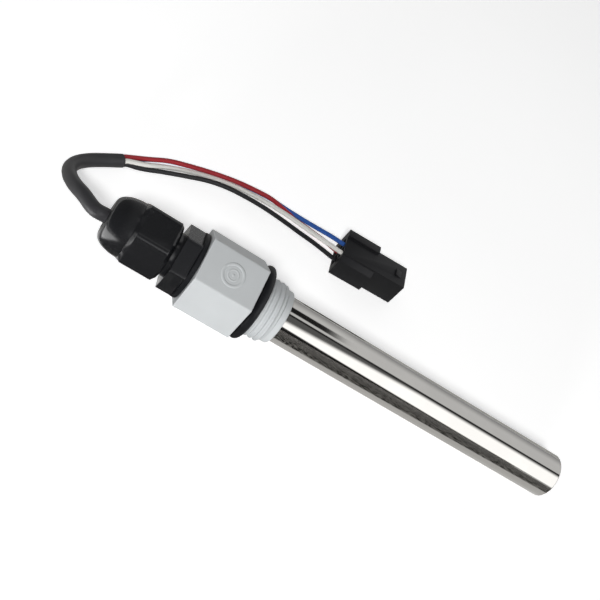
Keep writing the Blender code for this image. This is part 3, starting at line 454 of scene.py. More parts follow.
def rounded(corners, steps=4):
    """An outline whose corners (along, radius, fillet) become arcs of that fillet."""
    points = []
    last = len(corners) - 1
    for i, (along, radius, fillet) in enumerate(corners):
        corner = Vector((along, radius))
        if fillet <= 0 or (i in (0, last) and radius == 0):
            points.append(corner)
            continue
        before = Vector(corners[i - 1][:2]) - corner
        after = Vector(corners[(i + 1) % len(corners)][:2]) - corner
        half = before.angle(after) / 2
        reach = min(fillet / math.tan(half), before.length * 0.48, after.length * 0.48)
        way_in, way_out = before.normalized(), after.normalized()
        start = corner + way_in * reach
        end = corner + way_out * reach
        middle = corner + (way_in + way_out).normalized() * (reach / math.cos(half))
        swing = (start - middle).angle_signed(end - middle)
        for step in range(steps + 1):
            turned = (start - middle).to_3d()
            turned.rotate(Matrix.Rotation(-swing * step / steps, 3, "Z"))
            points.append(middle + turned.to_2d())
    return points


def spun(bm, geom, axis, steps):
    """Turns geometry once round an axis through the origin."""
    bmesh.ops.spin(
        bm, geom=geom, cent=(0, 0, 0), axis=axis, angle=math.tau, steps=steps, use_merge=True
    )


def turned_mesh(name, outline, steps, sharp=35.0):
    """Turns an outline of (along, radius) about the probe's axis."""
    bm = bmesh.new()
    verts = [bm.verts.new((p[0], 0, p[1])) for p in outline]
    edges = [bm.edges.new(pair) for pair in zip(verts, verts[1:])]
    if outline[0][1] > 0 or outline[-1][1] > 0:
        edges.append(bm.edges.new((verts[-1], verts[0])))
    spun(bm, verts + edges, (1, 0, 0), steps)
    return meshed(name, bm, AXIS, sharp)


def hexagon_loop(bm, across, corner, cuts):
    """A loop round the axis in the shape of a hexagon with rounded corners and a flat on top."""
    made = bmesh.ops.create_circle(bm, cap_ends=True, segments=6, radius=across / math.sqrt(3))
    bmesh.ops.rotate(bm, verts=made["verts"], matrix=Matrix.Rotation(math.radians(90), 3, "Y"))
    bmesh.ops.bevel(
        bm, geom=bm.verts[:], offset=corner, segments=4, profile=0.5, affect="VERTICES", material=-1
    )
    flats = [e for e in bm.edges if e.calc_length() > corner * 2]
    bmesh.ops.subdivide_edges(bm, edges=flats, cuts=cuts)
    bmesh.ops.delete(bm, geom=bm.faces[:], context="FACES_ONLY")
    size = bm.verts.layers.float.new("size")
    for vert in bm.verts:
        vert[size] = vert.co.length
    return bm.edges[:], size


def ring_stack(bm, loop, size, rings):
    """Pushes the loop from ring to ring. A ring is (place, limit, share): the hexagon is scaled
    by share and cut to the limit, which is a radius or a function of the angle round the axis."""
    softness = 0.00010
    for count, (place, limit, share) in enumerate(rings):
        if count > 0:
            grown = bmesh.ops.extrude_edge_only(bm, edges=loop)["geom"]
            loop = [e for e in grown if isinstance(e, bmesh.types.BMEdge)]
        for vert in {v for e in loop for v in e.verts}:
            angle = math.atan2(vert.co.z, vert.co.y)
            cut = limit(angle) if callable(limit) else limit
            flat = vert[size] * share
            radius = (cut + flat - math.sqrt((cut - flat) ** 2 + softness**2)) / 2
            vert.co = (place, math.cos(angle) * radius, math.sin(angle) * radius)


def faceted_mesh(name, across, corner, rings, turn=0.0, cuts=14, sharp=35.0):
    bm = bmesh.new()
    loop, size = hexagon_loop(bm, across, corner, cuts)
    ring_stack(bm, loop, size, rings)
    return meshed(name, bm, AXIS @ Matrix.Rotation(turn, 4, "X"), sharp, 2e-6)


def as_rings(outline):
    """Rings of full size for an outline, closed on its first point."""
    return [(p[0], p[1], 1.0) for p in (*outline, outline[0])]


def smooth_route(points, spacing):
    """Points about one spacing apart on a smooth curve through the route points."""
    knots = [Vector(p) for p in points]
    knots = [2 * knots[0] - knots[1], *knots, 2 * knots[-1] - knots[-2]]
    fine = []
    for a, b, c, d in zip(knots, knots[1:], knots[2:], knots[3:]):
        bend = 2 * a - 5 * b + 4 * c - d
        twist = 3 * b - a - 3 * c + d
        for step in range(24):
            t = step / 24
            fine.append(0.5 * (2 * b + (c - a) * t + bend * t**2 + twist * t**3))
    fine.append(knots[-2])
    lengths = [0.0]
    for a, b in zip(fine, fine[1:]):
        lengths.append(lengths[-1] + (b - a).length)
    count = max(2, round(lengths[-1] / spacing))
    route = []
    at = 0
    for step in range(count + 1):
        wanted = lengths[-1] * step / count
        while at < len(fine) - 2 and lengths[at + 1] < wanted:
            at += 1
        share = (wanted - lengths[at]) / max(lengths[at + 1] - lengths[at], 1e-9)
        route.append(fine[at].lerp(fine[at + 1], min(share, 1.0)))
    return route, lengths[-1]


def cord_curve(name, route, diameter):
    """A round cord along route points, closed at both ends."""
    curve = bpy.data.curves.new(name, "CURVE")
    curve.dimensions = "3D"
    curve.bevel_depth = diameter / 2
    curve.bevel_resolution = 8
    curve.use_fill_caps = True
    spline = curve.splines.new("POLY")
    spline.points.add(len(route) - 1)
    for point, place in zip(spline.points, route):
        point.co = (*place, 1.0)
    return curve


def applied(name, base, helpers, bevel):
    """Runs Boolean helpers and an edge bevel on a mesh and returns the finished mesh."""
    worker = placed(name, base)
    made = [worker]
    for operation, mesh in helpers:
        made.append(placed(mesh.name, mesh))
        modifier = worker.modifiers.new(operation, "BOOLEAN")
        modifier.operation = operation
        modifier.solver = "EXACT"
        modifier.object = made[-1]
    modifier = worker.modifiers.new("edges", "BEVEL")
    modifier.width = bevel
    modifier.segments = 3
    modifier.limit_method = "ANGLE"
    modifier.angle_limit = math.radians(35)
    modifier.use_clamp_overlap = True
    bpy.context.view_layer.update()
    graph = bpy.context.evaluated_depsgraph_get()
    mesh = bpy.data.meshes.new_from_object(worker.evaluated_get(graph))
    for old in made:
        bpy.data.objects.remove(old, do_unlink=True)
    mesh.name = name
    return smoothed(mesh, 30.0)


def boxes_mesh(name, boxes, matrix):
    bm = bmesh.new()
    for low, high in boxes:
        made = bmesh.ops.create_cube(bm, size=1.0)
        size = Vector(high) - Vector(low)
        bmesh.ops.scale(bm, vec=size, verts=made["verts"])
        bmesh.ops.translate(bm, vec=Vector(low) + size / 2, verts=made["verts"])
    return meshed(name, bm, matrix)


def push_on(bm, grown, step):
    """Moves what an extrusion has just made."""
    moved = [v for v in grown["geom"] if isinstance(v, bmesh.types.BMVert)]
    bmesh.ops.translate(bm, verts=moved, vec=step)


def pushed_mesh(name, corners, step, matrix):
    """A flat outline pushed along by one step."""
    bm = bmesh.new()
    face = bm.faces.new([bm.verts.new(corner) for corner in corners])
    push_on(bm, bmesh.ops.extrude_face_region(bm, geom=[face]), step)
    return meshed(name, bm, matrix)


# The lead, from the floor point under the middle of the flange


def millimetres(*points):
    return [tuple(value / 1000 for value in point) for point in points]


GLAND_MOUTH = -0.0495
SHEATH_START = -0.0215
SHEATH_ROUTE = millimetres(
    (-58.4, 4.6, 14.7), (-62.4, 9.6, 11.6), (-65.2, 15.1, 8.4), (-66.4, 20.8, 5.6),
    (-65.5, 26.2, 3.7), (-62.5, 30.9, 2.7), (-58.2, 34.9, 2.4), (-53.5, 38.6, 2.4),
)
WIRE_ROUTES = {
    "red": millimetres(
        (-46.0, 45.3, 2.9), (-39.6, 50.0, 2.6), (-33.0, 52.9, 2.6), (-25.0, 55.7, 2.7),
        (-16.2, 58.2, 2.7), (-7.8, 59.6, 2.7), (0.0, 60.3, 2.4), (7.0, 59.0, 1.8),
        (13.0, 58.4, 1.1), (19.0, 57.5, 1.0), (24.5, 55.9, 1.6),
    ),
    "blue": millimetres(
        (-46.6, 46.7, 1.0), (-40.0, 51.5, 0.9), (-33.3, 54.5, 0.9), (-25.0, 57.5, 0.9),
        (-16.2, 60.0, 0.9), (-7.8, 61.3, 0.9), (0.0, 61.9, 0.9), (6.5, 60.7, 1.4),
        (13.0, 58.4, 3.1), (19.0, 55.8, 5.3), (24.5, 54.0, 6.9),
    ),
    "white": millimetres(
        (-45.8, 42.9, 2.3), (-39.5, 47.9, 1.3), (-32.0, 52.2, 0.9), (-24.6, 55.2, 0.9),
        (-15.4, 57.6, 1.0), (-8.0, 58.2, 1.3), (0.0, 57.4, 2.3), (8.0, 55.0, 4.0),
        (15.0, 52.2, 5.6), (20.5, 50.1, 6.8), (25.0, 49.1, 7.3),
    ),
    "black": millimetres(
        (-46.6, 41.5, 0.9), (-40.0, 45.2, 0.9), (-32.0, 49.4, 0.9), (-23.9, 53.2, 0.9),
        (-17.0, 55.1, 0.9), (-10.0, 55.8, 0.9), (-2.0, 55.8, 0.9), (6.6, 54.8, 1.0),
        (14.0, 52.9, 1.6), (20.0, 51.0, 2.5), (25.0, 49.5, 2.9),
    ),
}
CORE_OFFSET = 0.0009
CORE_SIDES = {"red": (1, 1), "blue": (1, -1), "white": (-1, 1), "black": (-1, -1)}
CAVITY_SIDES = {"red": (1, -1), "blue": (1, 1), "white": (-1, 1), "black": (-1, -1)}
PLUG_MIDDLE = Vector((0.0429, 0.0507, 0.0))
PIN_BACK = -0.0073
GAP = 0.0003
PLUG_WALL = 0.0011
PLUG_WEB = 0.0009


def on_floor(point):
    """A route point as a place in the frame."""
    return FLANGE_FOOT + Vector(point)


def cavity_offset(width):
    """How far the middle of a wire's cavity is from the plug's own middle."""
    return ((width - 2 * PLUG_WALL - PLUG_WEB) / 2 + PLUG_WEB) / 2


# Pieces


class SENSOR_OT_stage(bpy.types.Operator):
    """Adds the pale floor, the soft studio light and the camera"""

    bl_idname = "level_sensor.stage"
    bl_label = "Stage"

    def execute(self, context):
        settings = context.scene.sensor_stage
        scene = context.scene
        lens = bpy.data.cameras.new("camera")
        lens.lens = settings.lens
        lens.sensor_width = 36.0
        lens.clip_start = 0.01
        lens.clip_end = 20.0
        camera = placed("camera", lens)
        camera.location = (-0.092406, -0.180402, 0.210379)
        camera.rotation_euler = (0.645947, -0.516278, 0.229643)
        scene.camera = camera
        self.floor(settings)
        self.lamps(settings)
        scene.world = self.room(settings)
        scene.view_settings.view_transform = "Standard"
        return {"FINISHED"}

    def floor(self, settings):
        """A pale floor that glows a little, but only as seen, so that it reads as white."""
        bm = bmesh.new()
        bmesh.ops.create_grid(bm, x_segments=1, y_segments=1, size=1.6)
        mesh = as_mesh("floor", bm)
        s = Shader("pale_floor")
        paper = s.noise(s.place(), 900.0, 3.0, 0.6)
        s.set(
            Base_Color=s.mix(paper, shade(settings.floor, 0.99), settings.floor[:]),
            Roughness=0.9,
            Specular_IOR_Level=0.1,
        )
        ray = s.node("ShaderNodeLightPath", out="Is Camera Ray")
        seen = ray + ray.beside("Is Glossy Ray") + ray.beside("Is Transmission Ray")
        values = {"Color": WHITE, "Strength": seen * settings.glow}
        glow = s.node("ShaderNodeEmission", None, values)
        plain = Socket(s, s.surface.outputs[0])
        both = s.node("ShaderNodeAddShader", None, {0: plain, 1: glow})
        s.feed(s.tree.nodes["Material Output"].inputs["Surface"], both)
        mesh.materials.append(s.block)
        placed("floor", mesh)
        self.flag()
        self.reflector()

    def flag(self):
        """Dark sheets before and behind the object, which only shiny surfaces show: painted
        reflections, with a dark band, a glowing strip and a dim glow behind.
        """
        left, width = -0.20, 0.51
        bm = bmesh.new()
        for line in (
            ((-0.0045, 0.0012), (-0.30, 0.0012), (-0.30, 0.036)),
            ((0.0045, 0.0012), (0.034, 0.0004), (0.30, 0.0004)),
        ):
            verts = [bm.verts.new((left, y, z)) for y, z in line]
            edges = [bm.edges.new(pair) for pair in zip(verts, verts[1:])]
            push_on(bm, bmesh.ops.extrude_edge_only(bm, edges=edges), (width, 0, 0))
        s = Shader("flag_cloth")
        where = s.place()
        x, y, _ = s.axes(where)
        # Painted reflections: a glowing strip in front along the probe, a dimmer glow behind, and a
        # dark sheet with a grainy nap elsewhere
        painted_strip = y.between(-0.0175, -0.0150) * x.between(-0.032, -0.028) * y.between(0.001, 0.0)
        behind = y.between(0.0, 0.001)
        weave = s.noise(s.stretched(where, (1100, 380, 380)), 1.0, 3.0, 0.6).between(0.42, 0.58)
        painted_strip_glow = s.mix(painted_strip, BLACK, (0.60, 0.595, 0.58))
        s.set(
            Base_Color=s.mix(painted_strip, s.mix(weave, BLACK, (0.44, 0.43, 0.41)), (0.15, 0.15, 0.15)),
            Roughness=0.9,
            Emission_Color=s.mix(behind, painted_strip_glow, (0.30, 0.30, 0.29)),
            Emission_Strength=1.0,
        )
        return self.card("dark_flag", bm, s.block)

    def reflector(self):
        """A small glowing card low on the left, which only shiny surfaces see: the painted
        highlight on the domed nut.
        """
        bm = bmesh.new()
        bmesh.ops.create_grid(bm, x_segments=1, y_segments=1, size=0.5)
        bmesh.ops.scale(bm, vec=(0.052, 0.100, 1.0), verts=bm.verts)
        bmesh.ops.translate(bm, vec=(-0.124, -0.060, 0.0016), verts=bm.verts)
        s = Shader("reflector_paper")
        grain = s.noise(s.place(), 200.0)
        s.set(
            Base_Color=s.mix(grain, (0.85, 0.85, 0.85), (0.90, 0.90, 0.90)),
            Emission_Color=WHITE,
            Emission_Strength=4.5,
        )
        return self.card("bright_card", bm, s.block)

    def card(self, name, bm, finish_used):
        """A card that nothing but shiny surfaces sees."""
        mesh = as_mesh(name, bm)
        mesh.materials.append(finish_used)
        made = placed(name, mesh)
        for ray in ("camera", "diffuse", "transmission", "shadow", "volume_scatter"):
            setattr(made, "visible_" + ray, False)
        return made

    def lamps(self, settings):
        """Two softboxes in front, which shiny surfaces don't show."""
        aim = Vector((0.0, 0.02, 0.01))
        for name, place, size, power in (
            ("low_softbox", (-0.30, -1.15, 0.10), 0.18, settings.low),
            ("high_softbox", (-0.245, -0.864, 0.781), 0.16, settings.high),
        ):
            lamp = bpy.data.lights.new(name, "AREA")
            lamp.shape = "SQUARE"
            lamp.size = size
            lamp.energy = power
            holder = placed(name, lamp)
            holder.location = place
            holder.rotation_euler = (aim - Vector(place)).to_track_quat("-Z", "Y").to_euler()
            holder.visible_camera = False
            holder.visible_glossy = False

    def room(self, settings):
        """Diffuse surfaces see an even room with a lighter wall behind. Shiny ones see painted
        reflections of softboxes with dark gaps, which give no diffuse light, set by turn, the
        degrees round the probe from the front horizon over the top to the back horizon, and by x,
        which grows from the head to the nose."""
        s = Shader("studio_room", world=True)
        x, y, z = s.axes(s.node("ShaderNodeTexCoord", out="Generated"))
        turn = z.maths("ARCTAN2", y * -1.0) * math.degrees(1.0)
        # In front: a dim box with a bright core, whose edges rise and sink along the probe
        core_top = ((x - 0.225) * 87.0 + 57.0).maths("MINIMUM", 80.0)
        core = ((core_top - turn) * 0.055).between(0.0, 1.0)
        low_edge = ((turn + x * 35.0 - 23.0) * 0.17).between(0.0, 1.0)
        front = low_edge * turn.between(81.0, 77.0) * (core * 1.83 + 0.13)
        # Overhead and behind: a box that fades to the horizon, with a gap near the head
        gap = turn.between(96.0, 101.0) * turn.between(126.0, 121.0) * x.between(0.345, 0.30)
        fading = 0.84 - turn.between(130.0, 178.0) * 0.45
        back = turn.between(85.0, 89.0) * fading * (1.0 - gap)
        # Past the nose: one more box; past the gland: a dim room
        away = x.between(0.74, 0.84)
        end = away * z.between(0.05, 0.15) * z.between(0.75, 0.60) * 0.8
        side = x.between(0.05, 0.16)
        rest = x.between(-0.40, -0.05) * 0.15 + 0.08
        gloss = (front + back) * side * (1.0 - away) + (1.0 - side) * rest + end + 0.02
        shiny = s.node("ShaderNodeLightPath", out="Is Glossy Ray")
        seen = shiny.beside("Is Camera Ray") + shiny.beside("Is Transmission Ray")
        wall = y.between(0.35, 0.75) * z.between(0.42, 0.22) * 2.3
        even = (1.0 - shiny) * (1.0 - seen) * (wall + settings.fill)
        background = s.tree.nodes["Background"]
        s.feed(background.inputs["Color"], WHITE)
        s.feed(background.inputs["Strength"], shiny * gloss + seen + even)
        return s.block


class SENSOR_OT_lead(bpy.types.Operator):
    """Adds the cable and its four wires"""

    bl_idname = "level_sensor.lead"
    bl_label = "Lead"

    def execute(self, context):
        settings = context.scene.sensor_lead
        plug = context.scene.sensor_plug
        inside = GLAND_MOUTH - SHEATH_START
        places = [SHEATH_START + inside * k / 4 for k in range(5)]
        places.append(GLAND_MOUTH - settings.cable * 0.9)
        points = [AXIS @ Vector((place, 0, 0)) for place in places]
        points += [on_floor(p) for p in SHEATH_ROUTE]
        route, length = smooth_route(points, settings.cable * 0.2)
        tone = settings.jacket[:]
        jacket = sleeve_finish("cable_jacket_finish", tone, 0.36, 0.35)
        curve = cord_curve("cable_jacket", route, settings.cable)
        sheath = link("cable_jacket", curve, jacket, "black_jacket", "cable_sheath")
        end = Vector(SHEATH_ROUTE[-1])
        ahead = (end - Vector(SHEATH_ROUTE[-2])).normalized()
        aside = Vector((-ahead.y, ahead.x, 0))
        plug_pieces = [NODES[f"plug_pin_{n}"] for n in (1, 2, 3, 4)]
        plug_pieces.append(bpy.data.objects["plug_body"])
        offset = cavity_offset(plug.width)
        rear = PLUG_MIDDLE.x - plug.length / 2
        stop = PLUG_MIDDLE.x + PIN_BACK - GAP
        for colour, sides in CORE_SIDES.items():
            start = end + ahead * GAP + aside * sides[0] * CORE_OFFSET
            start += Vector((0, 0, sides[1] * CORE_OFFSET))
            y = PLUG_MIDDLE.y + CAVITY_SIDES[colour][0] * offset
            z = plug.width / 2 + CAVITY_SIDES[colour][1] * offset
            path = [start, start + ahead * settings.wire, *WIRE_ROUTES[colour]]
            path += [(rear, y, z), (stop, y, z)]
            route, length = smooth_route([on_floor(p) for p in path], settings.wire * 0.5)
            tone = getattr(settings, colour)[:]
            sleeve = sleeve_finish(colour + "_wire_finish", tone, 0.34, 0.20)
            curve = cord_curve("lead_" + colour, route, settings.wire)
            wire = link("lead_" + colour, curve, sleeve, colour + "_insulation", "wire_" + colour)
            paint(sleeve, "inner_wire_" + colour)
        return {"FINISHED"}


class SENSOR_OT_tube(bpy.types.Operator):
    """Adds the polished steel tube"""

    bl_idname = "level_sensor.tube"
    bl_label = "Probe tube"

    def execute(self, context):
        settings = context.scene.sensor_probe
        outer = settings.diameter / 2
        inner = outer - settings.wall
        edge = 0.0004
        corners = (
            (settings.back, inner, edge / 4),
            (settings.back, outer, edge / 2),
            (settings.reach, outer, edge),
            (settings.reach, inner, edge / 3),
        )
        outline = rounded(corners, 5)
        mesh = turned_mesh("tube_shell", outline, settings.segments, 40.0)
        link("tube_shell", mesh, steel_finish(settings.steel[:]), "polished_steel", "probe_tube")
        return {"FINISHED"}


class SENSOR_OT_head(bpy.types.Operator):
    """Adds the white moulding with its hexagon, pipe thread and ring mark"""

    bl_idname = "level_sensor.head"
    bl_label = "Threaded head"

    def execute(self, context):
        settings = context.scene.sensor_head
        rings = self.rings(settings)
        mesh = faceted_mesh("head_moulding", settings.across, 0.0003, rings, cuts=26, sharp=32.0)
        bm = bmesh.new()
        bm.from_mesh(mesh)
        self.mark(bm, settings)
        bm.to_mesh(mesh)
        bm.free()
        white = white_plastic_finish(settings.plastic[:])
        link("head_moulding", smoothed(mesh, 32.0), white, "white_plastic", "threaded_head")
        return {"FINISHED"}

    def rings(self, settings):
        """From the back face over the hexagon and the thread to the spigot, and back inside."""
        uncut = 1.0
        soft = 0.00022
        half_across = 0.0128
        bore, seat, throat, land = 0.0082, 0.0083, 0.0070, 0.0100
        back = -settings.length
        edge = []
        for step in range(4):
            angle = math.radians(30 * step)
            share = 1 - (1 - math.sin(angle)) * soft / half_across
            edge.append((soft * (1 - math.cos(angle)), share))
        rings = [(back, bore, 1.0), (back, land, 1.0)]
        rings += [(back + depth, uncut, share) for depth, share in edge]
        rings += [(back + 0.0006, uncut, 1.0), (-0.0006, uncut, 1.0)]
        rings += [(-depth, uncut, share) for depth, share in reversed(edge)]
        relief = (settings.root + settings.crest) / 2
        start, end = 0.0035, 0.0094
        rings += [(0.0, relief + 0.0006, 1.0), (0.0001, relief, 1.0), (start - 0.0004, relief, 1.0)]
        count = 72
        for step in range(count + 1):
            place = start + (end + 0.0007 - start) * step / count
            rings.append((place, self.thread(place, start, end, settings), 1.0))
        pilot = settings.root + 0.00005
        inside = (
            (end + 0.0009, pilot, 0), (settings.spigot, pilot, 0.0007),
            (settings.spigot, seat, 0.00015), (back + 0.0130, seat, 0),
            (back + 0.0130, throat, 0), (back + 0.0092, throat, 0),
            (back + 0.0092, bore, 0), (back, bore, 0),
        )
        rings += [(along, radius, 1.0) for along, radius in rounded(inside, 5)]
        return rings

    def thread(self, place, start, end, settings):
        """The thread's radius round the axis at one place: rounded ridges that fade in and out."""
        relief = (settings.root + settings.crest) / 2
        fade = 0.0009

        def radius(angle):
            phase = ((place - start + 0.00055) / settings.pitch - angle / math.tau) % 1.0
            ridge = 0.45 + 0.55 * (0.5 - 0.5 * math.cos(math.tau * phase))
            ends = min(1.0, (end + 0.0005 - place) / fade, (place - start + fade) / fade)
            rise = settings.root + (settings.crest - settings.root) * ridge * max(0.0, ends)
            joining = max(0.0, 1 - (place - start) / 0.0004)
            return rise * (1 - joining) + relief * joining

        return radius

    def mark(self, bm, settings):
        """Two raised rings and a dot in the middle of the upper flat."""
        beads = bmesh.new()
        angles = [math.tau * step / 12 for step in range(12)]
        for radius, width, height in ((0.00345, 0.00050, 0.00013), (0.00172, 0.00030, 0.00007)):
            verts = []
            for angle in angles:
                place = (radius + width * math.cos(angle), 0, height * math.sin(angle))
                verts.append(beads.verts.new(place))
            edges = [beads.edges.new(pair) for pair in zip(verts, verts[1:] + verts[:1])]
            spun(beads, verts + edges, (0, 0, 1), 72)
        dot = bmesh.ops.create_uvsphere(beads, u_segments=20, v_segments=10, radius=0.0005)
        bmesh.ops.scale(beads, vec=(1, 1, 0.25), verts=dot["verts"])
        bmesh.ops.recalc_face_normals(beads, faces=beads.faces)
        place = Matrix.Translation((-settings.length / 2, 0, settings.across / 2))
        bmesh.ops.transform(beads, matrix=AXIS @ place, verts=beads.verts)
        mesh = as_mesh("ring_mark", beads)
        bm.from_mesh(mesh)
        bpy.data.meshes.remove(mesh)


class SENSOR_OT_seals(bpy.types.Operator):
    """Adds the sealing ring under the flange and the washer behind the head"""

    bl_idname = "level_sensor.seals"
    bl_label = "Seals"

    def execute(self, context):
        settings = context.scene.sensor_head
        rubber = rubber_finish()
        half = settings.seal_section / 2
        radius = (settings.root + settings.crest) / 2 + GAP + half
        outline = []
        for step in range(28):
            angle = math.tau * step / 28
            outline.append((GAP + half + half * math.cos(angle), radius + half * math.sin(angle)))
        mesh = turned_mesh("flange_seal", outline, 128, 180.0)
        link("flange_seal", mesh, rubber, "black_rubber", "head_gasket")
        back = -settings.length - GAP / 2
        front = back - 0.0015
        inner, outer = 0.0082, 0.0112
        corners = (
            (front, inner, 0), (front, outer, 0.0002), (back, outer, 0.0003), (back, inner, 0),
        )
        mesh = turned_mesh("back_washer", rounded(corners), 96)
        link("back_washer", mesh, rubber, "black_rubber", "gland_washer")
        paint(rubber, "gland_seal", "prism_seal_ring")
        return {"FINISHED"}


class SENSOR_OT_gland(bpy.types.Operator):
    """Adds the gland's body and its domed nut"""

    bl_idname = "level_sensor.gland"
    bl_label = "Cable gland"

    def execute(self, context):
        settings = context.scene.sensor_gland
        tone = settings.plastic[:]
        black = black_plastic_finish("gland_plastic_finish", tone, 0.17, 0.000004, 0.5)
        self.body(settings, black)
        self.nut(settings, black)
        return {"FINISHED"}

    def body(self, settings, black):
        """The spigot in the head, the hexagon, the neck and the claw round the seal."""
        face = -0.0216
        back = face - 0.0051
        corner = settings.body_across / math.sqrt(3)
        bore, spigot, seat, neck, shank = 0.0038, 0.0079, 0.00555, 0.0074, 0.0083
        corners = (
            (face + 0.0098, bore, 0.0002), (face + 0.0098, spigot, 0.0004),
            (face + 0.0001, spigot, 0.0001), (face + 0.0001, corner - 0.0001, 0.0001),
            (face - 0.0001, corner + 0.0001, 0.0001), (back + 0.0002, corner + 0.0001, 0.0002),
            (back, corner - 0.0002, 0.0001), (back, neck, 0),
            (back - 0.0021, neck, 0.0002), (back - 0.0024, shank, 0.0001),
            (back - 0.0095, shank, 0.0002), (back - 0.0157, 0.0063, 0.0002),
            (back - 0.0157, seat, 0.0001), (back - 0.0052, seat, 0.0001),
            (back - 0.0052, bore, 0.0001),
        )
        rings = as_rings(rounded(corners, 5))
        turn = math.radians(13)
        mesh = faceted_mesh("gland_base", settings.body_across, 0.0003, rings, turn)
        link("gland_base", mesh, black, "black_nylon", "gland_body")

    def nut(self, settings, black):
        """A hexagon that runs into a dome with a round mouth."""
        face = -0.0283
        back = face - settings.nut_length
        corner = settings.nut_across / math.sqrt(3)
        flat = settings.nut_across / 2
        dome = flat - 0.0004
        lip = 0.0047
        bore, inside = 0.0038, 0.0086
        corners = (
            (face, inside, 0),
            (face, flat - 0.0008, 0.0005),
            (face - 0.0016, corner + 0.0001, 0.0010),
            (back + 0.0011, corner + 0.0001, 0.0003),
            (back - 0.0001, flat - 0.0002, 0.0001),
            (back - 0.0002, dome, 0),
        )
        outline = rounded(corners, 6)
        length = settings.dome - 0.0002
        arc = 24
        for step in range(1, arc + 1):
            angle = math.radians(90) * step / arc
            radius = lip + (dome - lip) * math.cos(angle) ** 0.8 if step < arc else lip
            outline.append(Vector((back - 0.0002 - length * math.sin(angle), radius)))
        mouth = back - settings.dome
        corners = (
            (mouth, lip - 0.0003, 0),
            (mouth + 0.0002, 0.0041, 0.0001),
            (mouth + 0.0006, bore, 0.0002),
            (mouth + 0.0068, bore, 0),
            (mouth + 0.0068, 0.0066, 0),
            (mouth + 0.0117, inside, 0),
        )
        outline += rounded(corners, 3)
        turn = math.radians(-9)
        rings = as_rings(outline)
        mesh = faceted_mesh("gland_cap", settings.nut_across, 0.0009, rings, turn, 16)
        link("gland_cap", mesh, black, "black_nylon", "gland_nut", "clamp_nut")


class SENSOR_OT_nose(bpy.types.Operator):
    """Adds the clear prism in the probe's nose"""

    bl_idname = "level_sensor.nose"
    bl_label = "Prism"

    def execute(self, context):
        front = context.scene.sensor_probe.reach - 0.0008
        back = front - 0.0110
        radius, neck = 0.0067, 0.0046
        groove = front - 0.0045
        half_groove = 0.00105
        tip = front + 0.0044
        corners = (
            (back, 0, 0), (back, radius, 0.0003),
            (groove - half_groove, radius, 0.0001), (groove - half_groove, neck, 0.0001),
            (groove + half_groove, neck, 0.0001), (groove + half_groove, radius, 0.0001),
            (front, radius, 0.0003), (front, 0.00515, 0.0001),
            (tip, 0.00075, 0.00075), (tip, 0, 0),
        )
        mesh = turned_mesh("prism_window", rounded(corners, 6), 96, 30.0)
        link("prism_window", mesh, clear_finish(), "clear_polysulfone", "sensing_prism")
        return {"FINISHED"}


class SENSOR_OT_electronics(bpy.types.Operator):
    """Gives the pieces inside the probe their finishes"""

    bl_idname = "level_sensor.electronics"
    bl_label = "Electronics"

    def execute(self, context):
        resistors = ("emitter_resistor", "load_resistor")
        chips = ("optics_holder", "comparator_chip", "output_transistor")
        for name, colour, gloss, nodes in (
            ("chip_resin_finish", (0.020, 0.020, 0.022), 0.45, chips),
            ("potting_resin_finish", (0.026, 0.024, 0.022), 0.22, ("potting_plug",)),
            ("receiver_epoxy_finish", (0.030, 0.012, 0.030), 0.12, ("photo_receiver",)),
            ("emitter_epoxy_finish", (0.36, 0.40, 0.52), 0.10, ("infrared_emitter",)),
            ("resistor_film_finish", (0.030, 0.034, 0.050), 0.30, resistors),
        ):
            paint(resin_finish(name, colour, gloss), *nodes)
        paint(board_finish(), "circuit_board")
        tin = metal_finish("tinned_can_finish", (0.78, 0.78, 0.77), 0.24)
        paint(tin, "smoothing_capacitor")
        return {"FINISHED"}


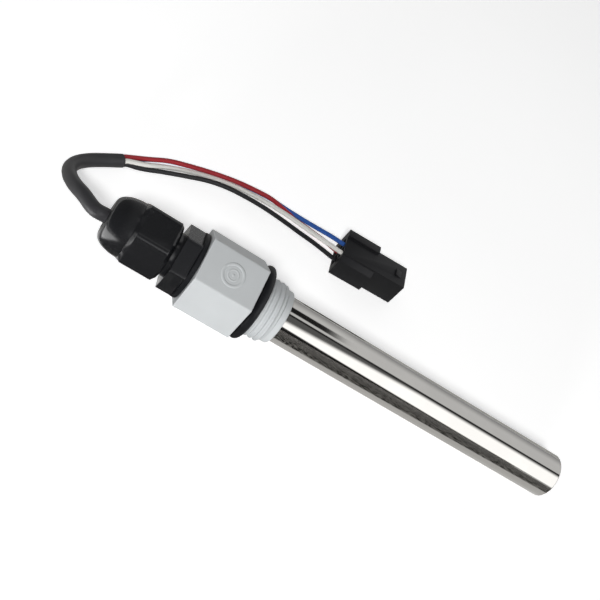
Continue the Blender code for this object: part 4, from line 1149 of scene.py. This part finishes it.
class SENSOR_OT_plug(bpy.types.Operator):
    """Adds the four-way plug and finishes its contact pins"""

    bl_idname = "level_sensor.plug"
    bl_label = "Plug"

    def execute(self, context):
        settings = context.scene.sensor_plug
        width = settings.width
        half, front = width / 2, settings.length / 2
        at = Matrix.Translation(on_floor(PLUG_MIDDLE))
        shell = boxes_mesh("plug_body", [((-front, -half, 0.0), (front, half, width))], at)
        reach = half + 0.0018
        inner = reach - 0.0034
        top, step = width + 0.0010, width - 0.0004
        ribs = (
            (-reach, 0), (reach, 0), (reach, top), (inner, top), (inner, step),
            (-half + 0.0004, step), (-reach, width - 0.0026),
        )
        ribs = [(-front, y, z) for y, z in ribs]
        latch, half_latch = front - 0.0020, 0.0016
        rear = latch - 0.0026
        catch = ((latch, step), (latch, width + 0.0001), (rear, width + 0.0009), (rear, step))
        catch = [(x, -half_latch, z) for x, z in catch]
        offset = cavity_offset(width)
        cavity = (width - 2 * PLUG_WALL - PLUG_WEB) / 4
        inside = half - PLUG_WALL
        pin = 0.00085
        socket = front - 0.0120
        behind = socket - 0.0030
        mouth = ((socket, -inside, PLUG_WALL), (front + GAP, inside, width - PLUG_WALL))
        cavities, holes = [mouth], []
        for side_y, side_z in CAVITY_SIDES.values():
            y, z = side_y * offset, half + side_z * offset
            for boxes, start, end, size in (
                (cavities, -front - GAP, behind, cavity),
                (holes, behind - GAP, socket + GAP, pin),
            ):
                boxes.append(((start, y - size, z - size), (end, y + size, z + size)))
        helpers = [
            ("UNION", pushed_mesh("plug_ribs", ribs, (0.0136, 0, 0), at)),
            ("UNION", pushed_mesh("plug_catch", catch, (0, 2 * half_latch, 0), at)),
            ("DIFFERENCE", boxes_mesh("plug_cavities", cavities, at)),
            ("DIFFERENCE", boxes_mesh("pin_holes", holes, at)),
        ]
        mesh = applied("plug_body", shell, helpers, 0.00018)
        tone = settings.plastic[:]
        black = black_plastic_finish("plug_plastic_finish", tone, 0.40, 0.000010, 0.24)
        link("plug_body", mesh, black, "plug_nylon", "plug_housing")
        tinned = metal_finish("tinned_pin_finish", (0.80, 0.79, 0.76), 0.20)
        paint(tinned, *[f"plug_pin_{number}" for number in (1, 2, 3, 4)])
        return {"FINISHED"}


class SENSOR_PT_panel(bpy.types.Panel):
    """Lists the steps that build the sensor's looks"""

    bl_idname = "SENSOR_PT_panel"
    bl_label = "Level Sensor"
    bl_space_type = "VIEW_3D"
    bl_region_type = "UI"
    bl_category = "Level Sensor"

    def draw(self, context):
        for name, group in SETTINGS.items():
            box = self.layout.box()
            box.label(text=group.__name__)
            for key in group.__annotations__:
                box.prop(getattr(context.scene, name), key)
        for step in STEPS:
            self.layout.operator(step.bl_idname)


STEPS = (
    SENSOR_OT_stage, SENSOR_OT_plug, SENSOR_OT_lead, SENSOR_OT_tube, SENSOR_OT_head,
    SENSOR_OT_seals, SENSOR_OT_gland, SENSOR_OT_nose, SENSOR_OT_electronics,
)
CLASSES = (*SETTINGS.values(), *STEPS, SENSOR_PT_panel)


def register():
    for each in CLASSES:
        bpy.utils.register_class(each)
    for name, group in SETTINGS.items():
        setattr(bpy.types.Scene, name, PointerProperty(type=group))


def unregister():
    for name in SETTINGS:
        delattr(bpy.types.Scene, name)
    for each in reversed(CLASSES):
        bpy.utils.unregister_class(each)


def main():
    register()
    for step in STEPS:
        getattr(bpy.ops.level_sensor, step.bl_idname.split(".")[1])()
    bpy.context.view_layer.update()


if __name__ == "__main__":
    main()
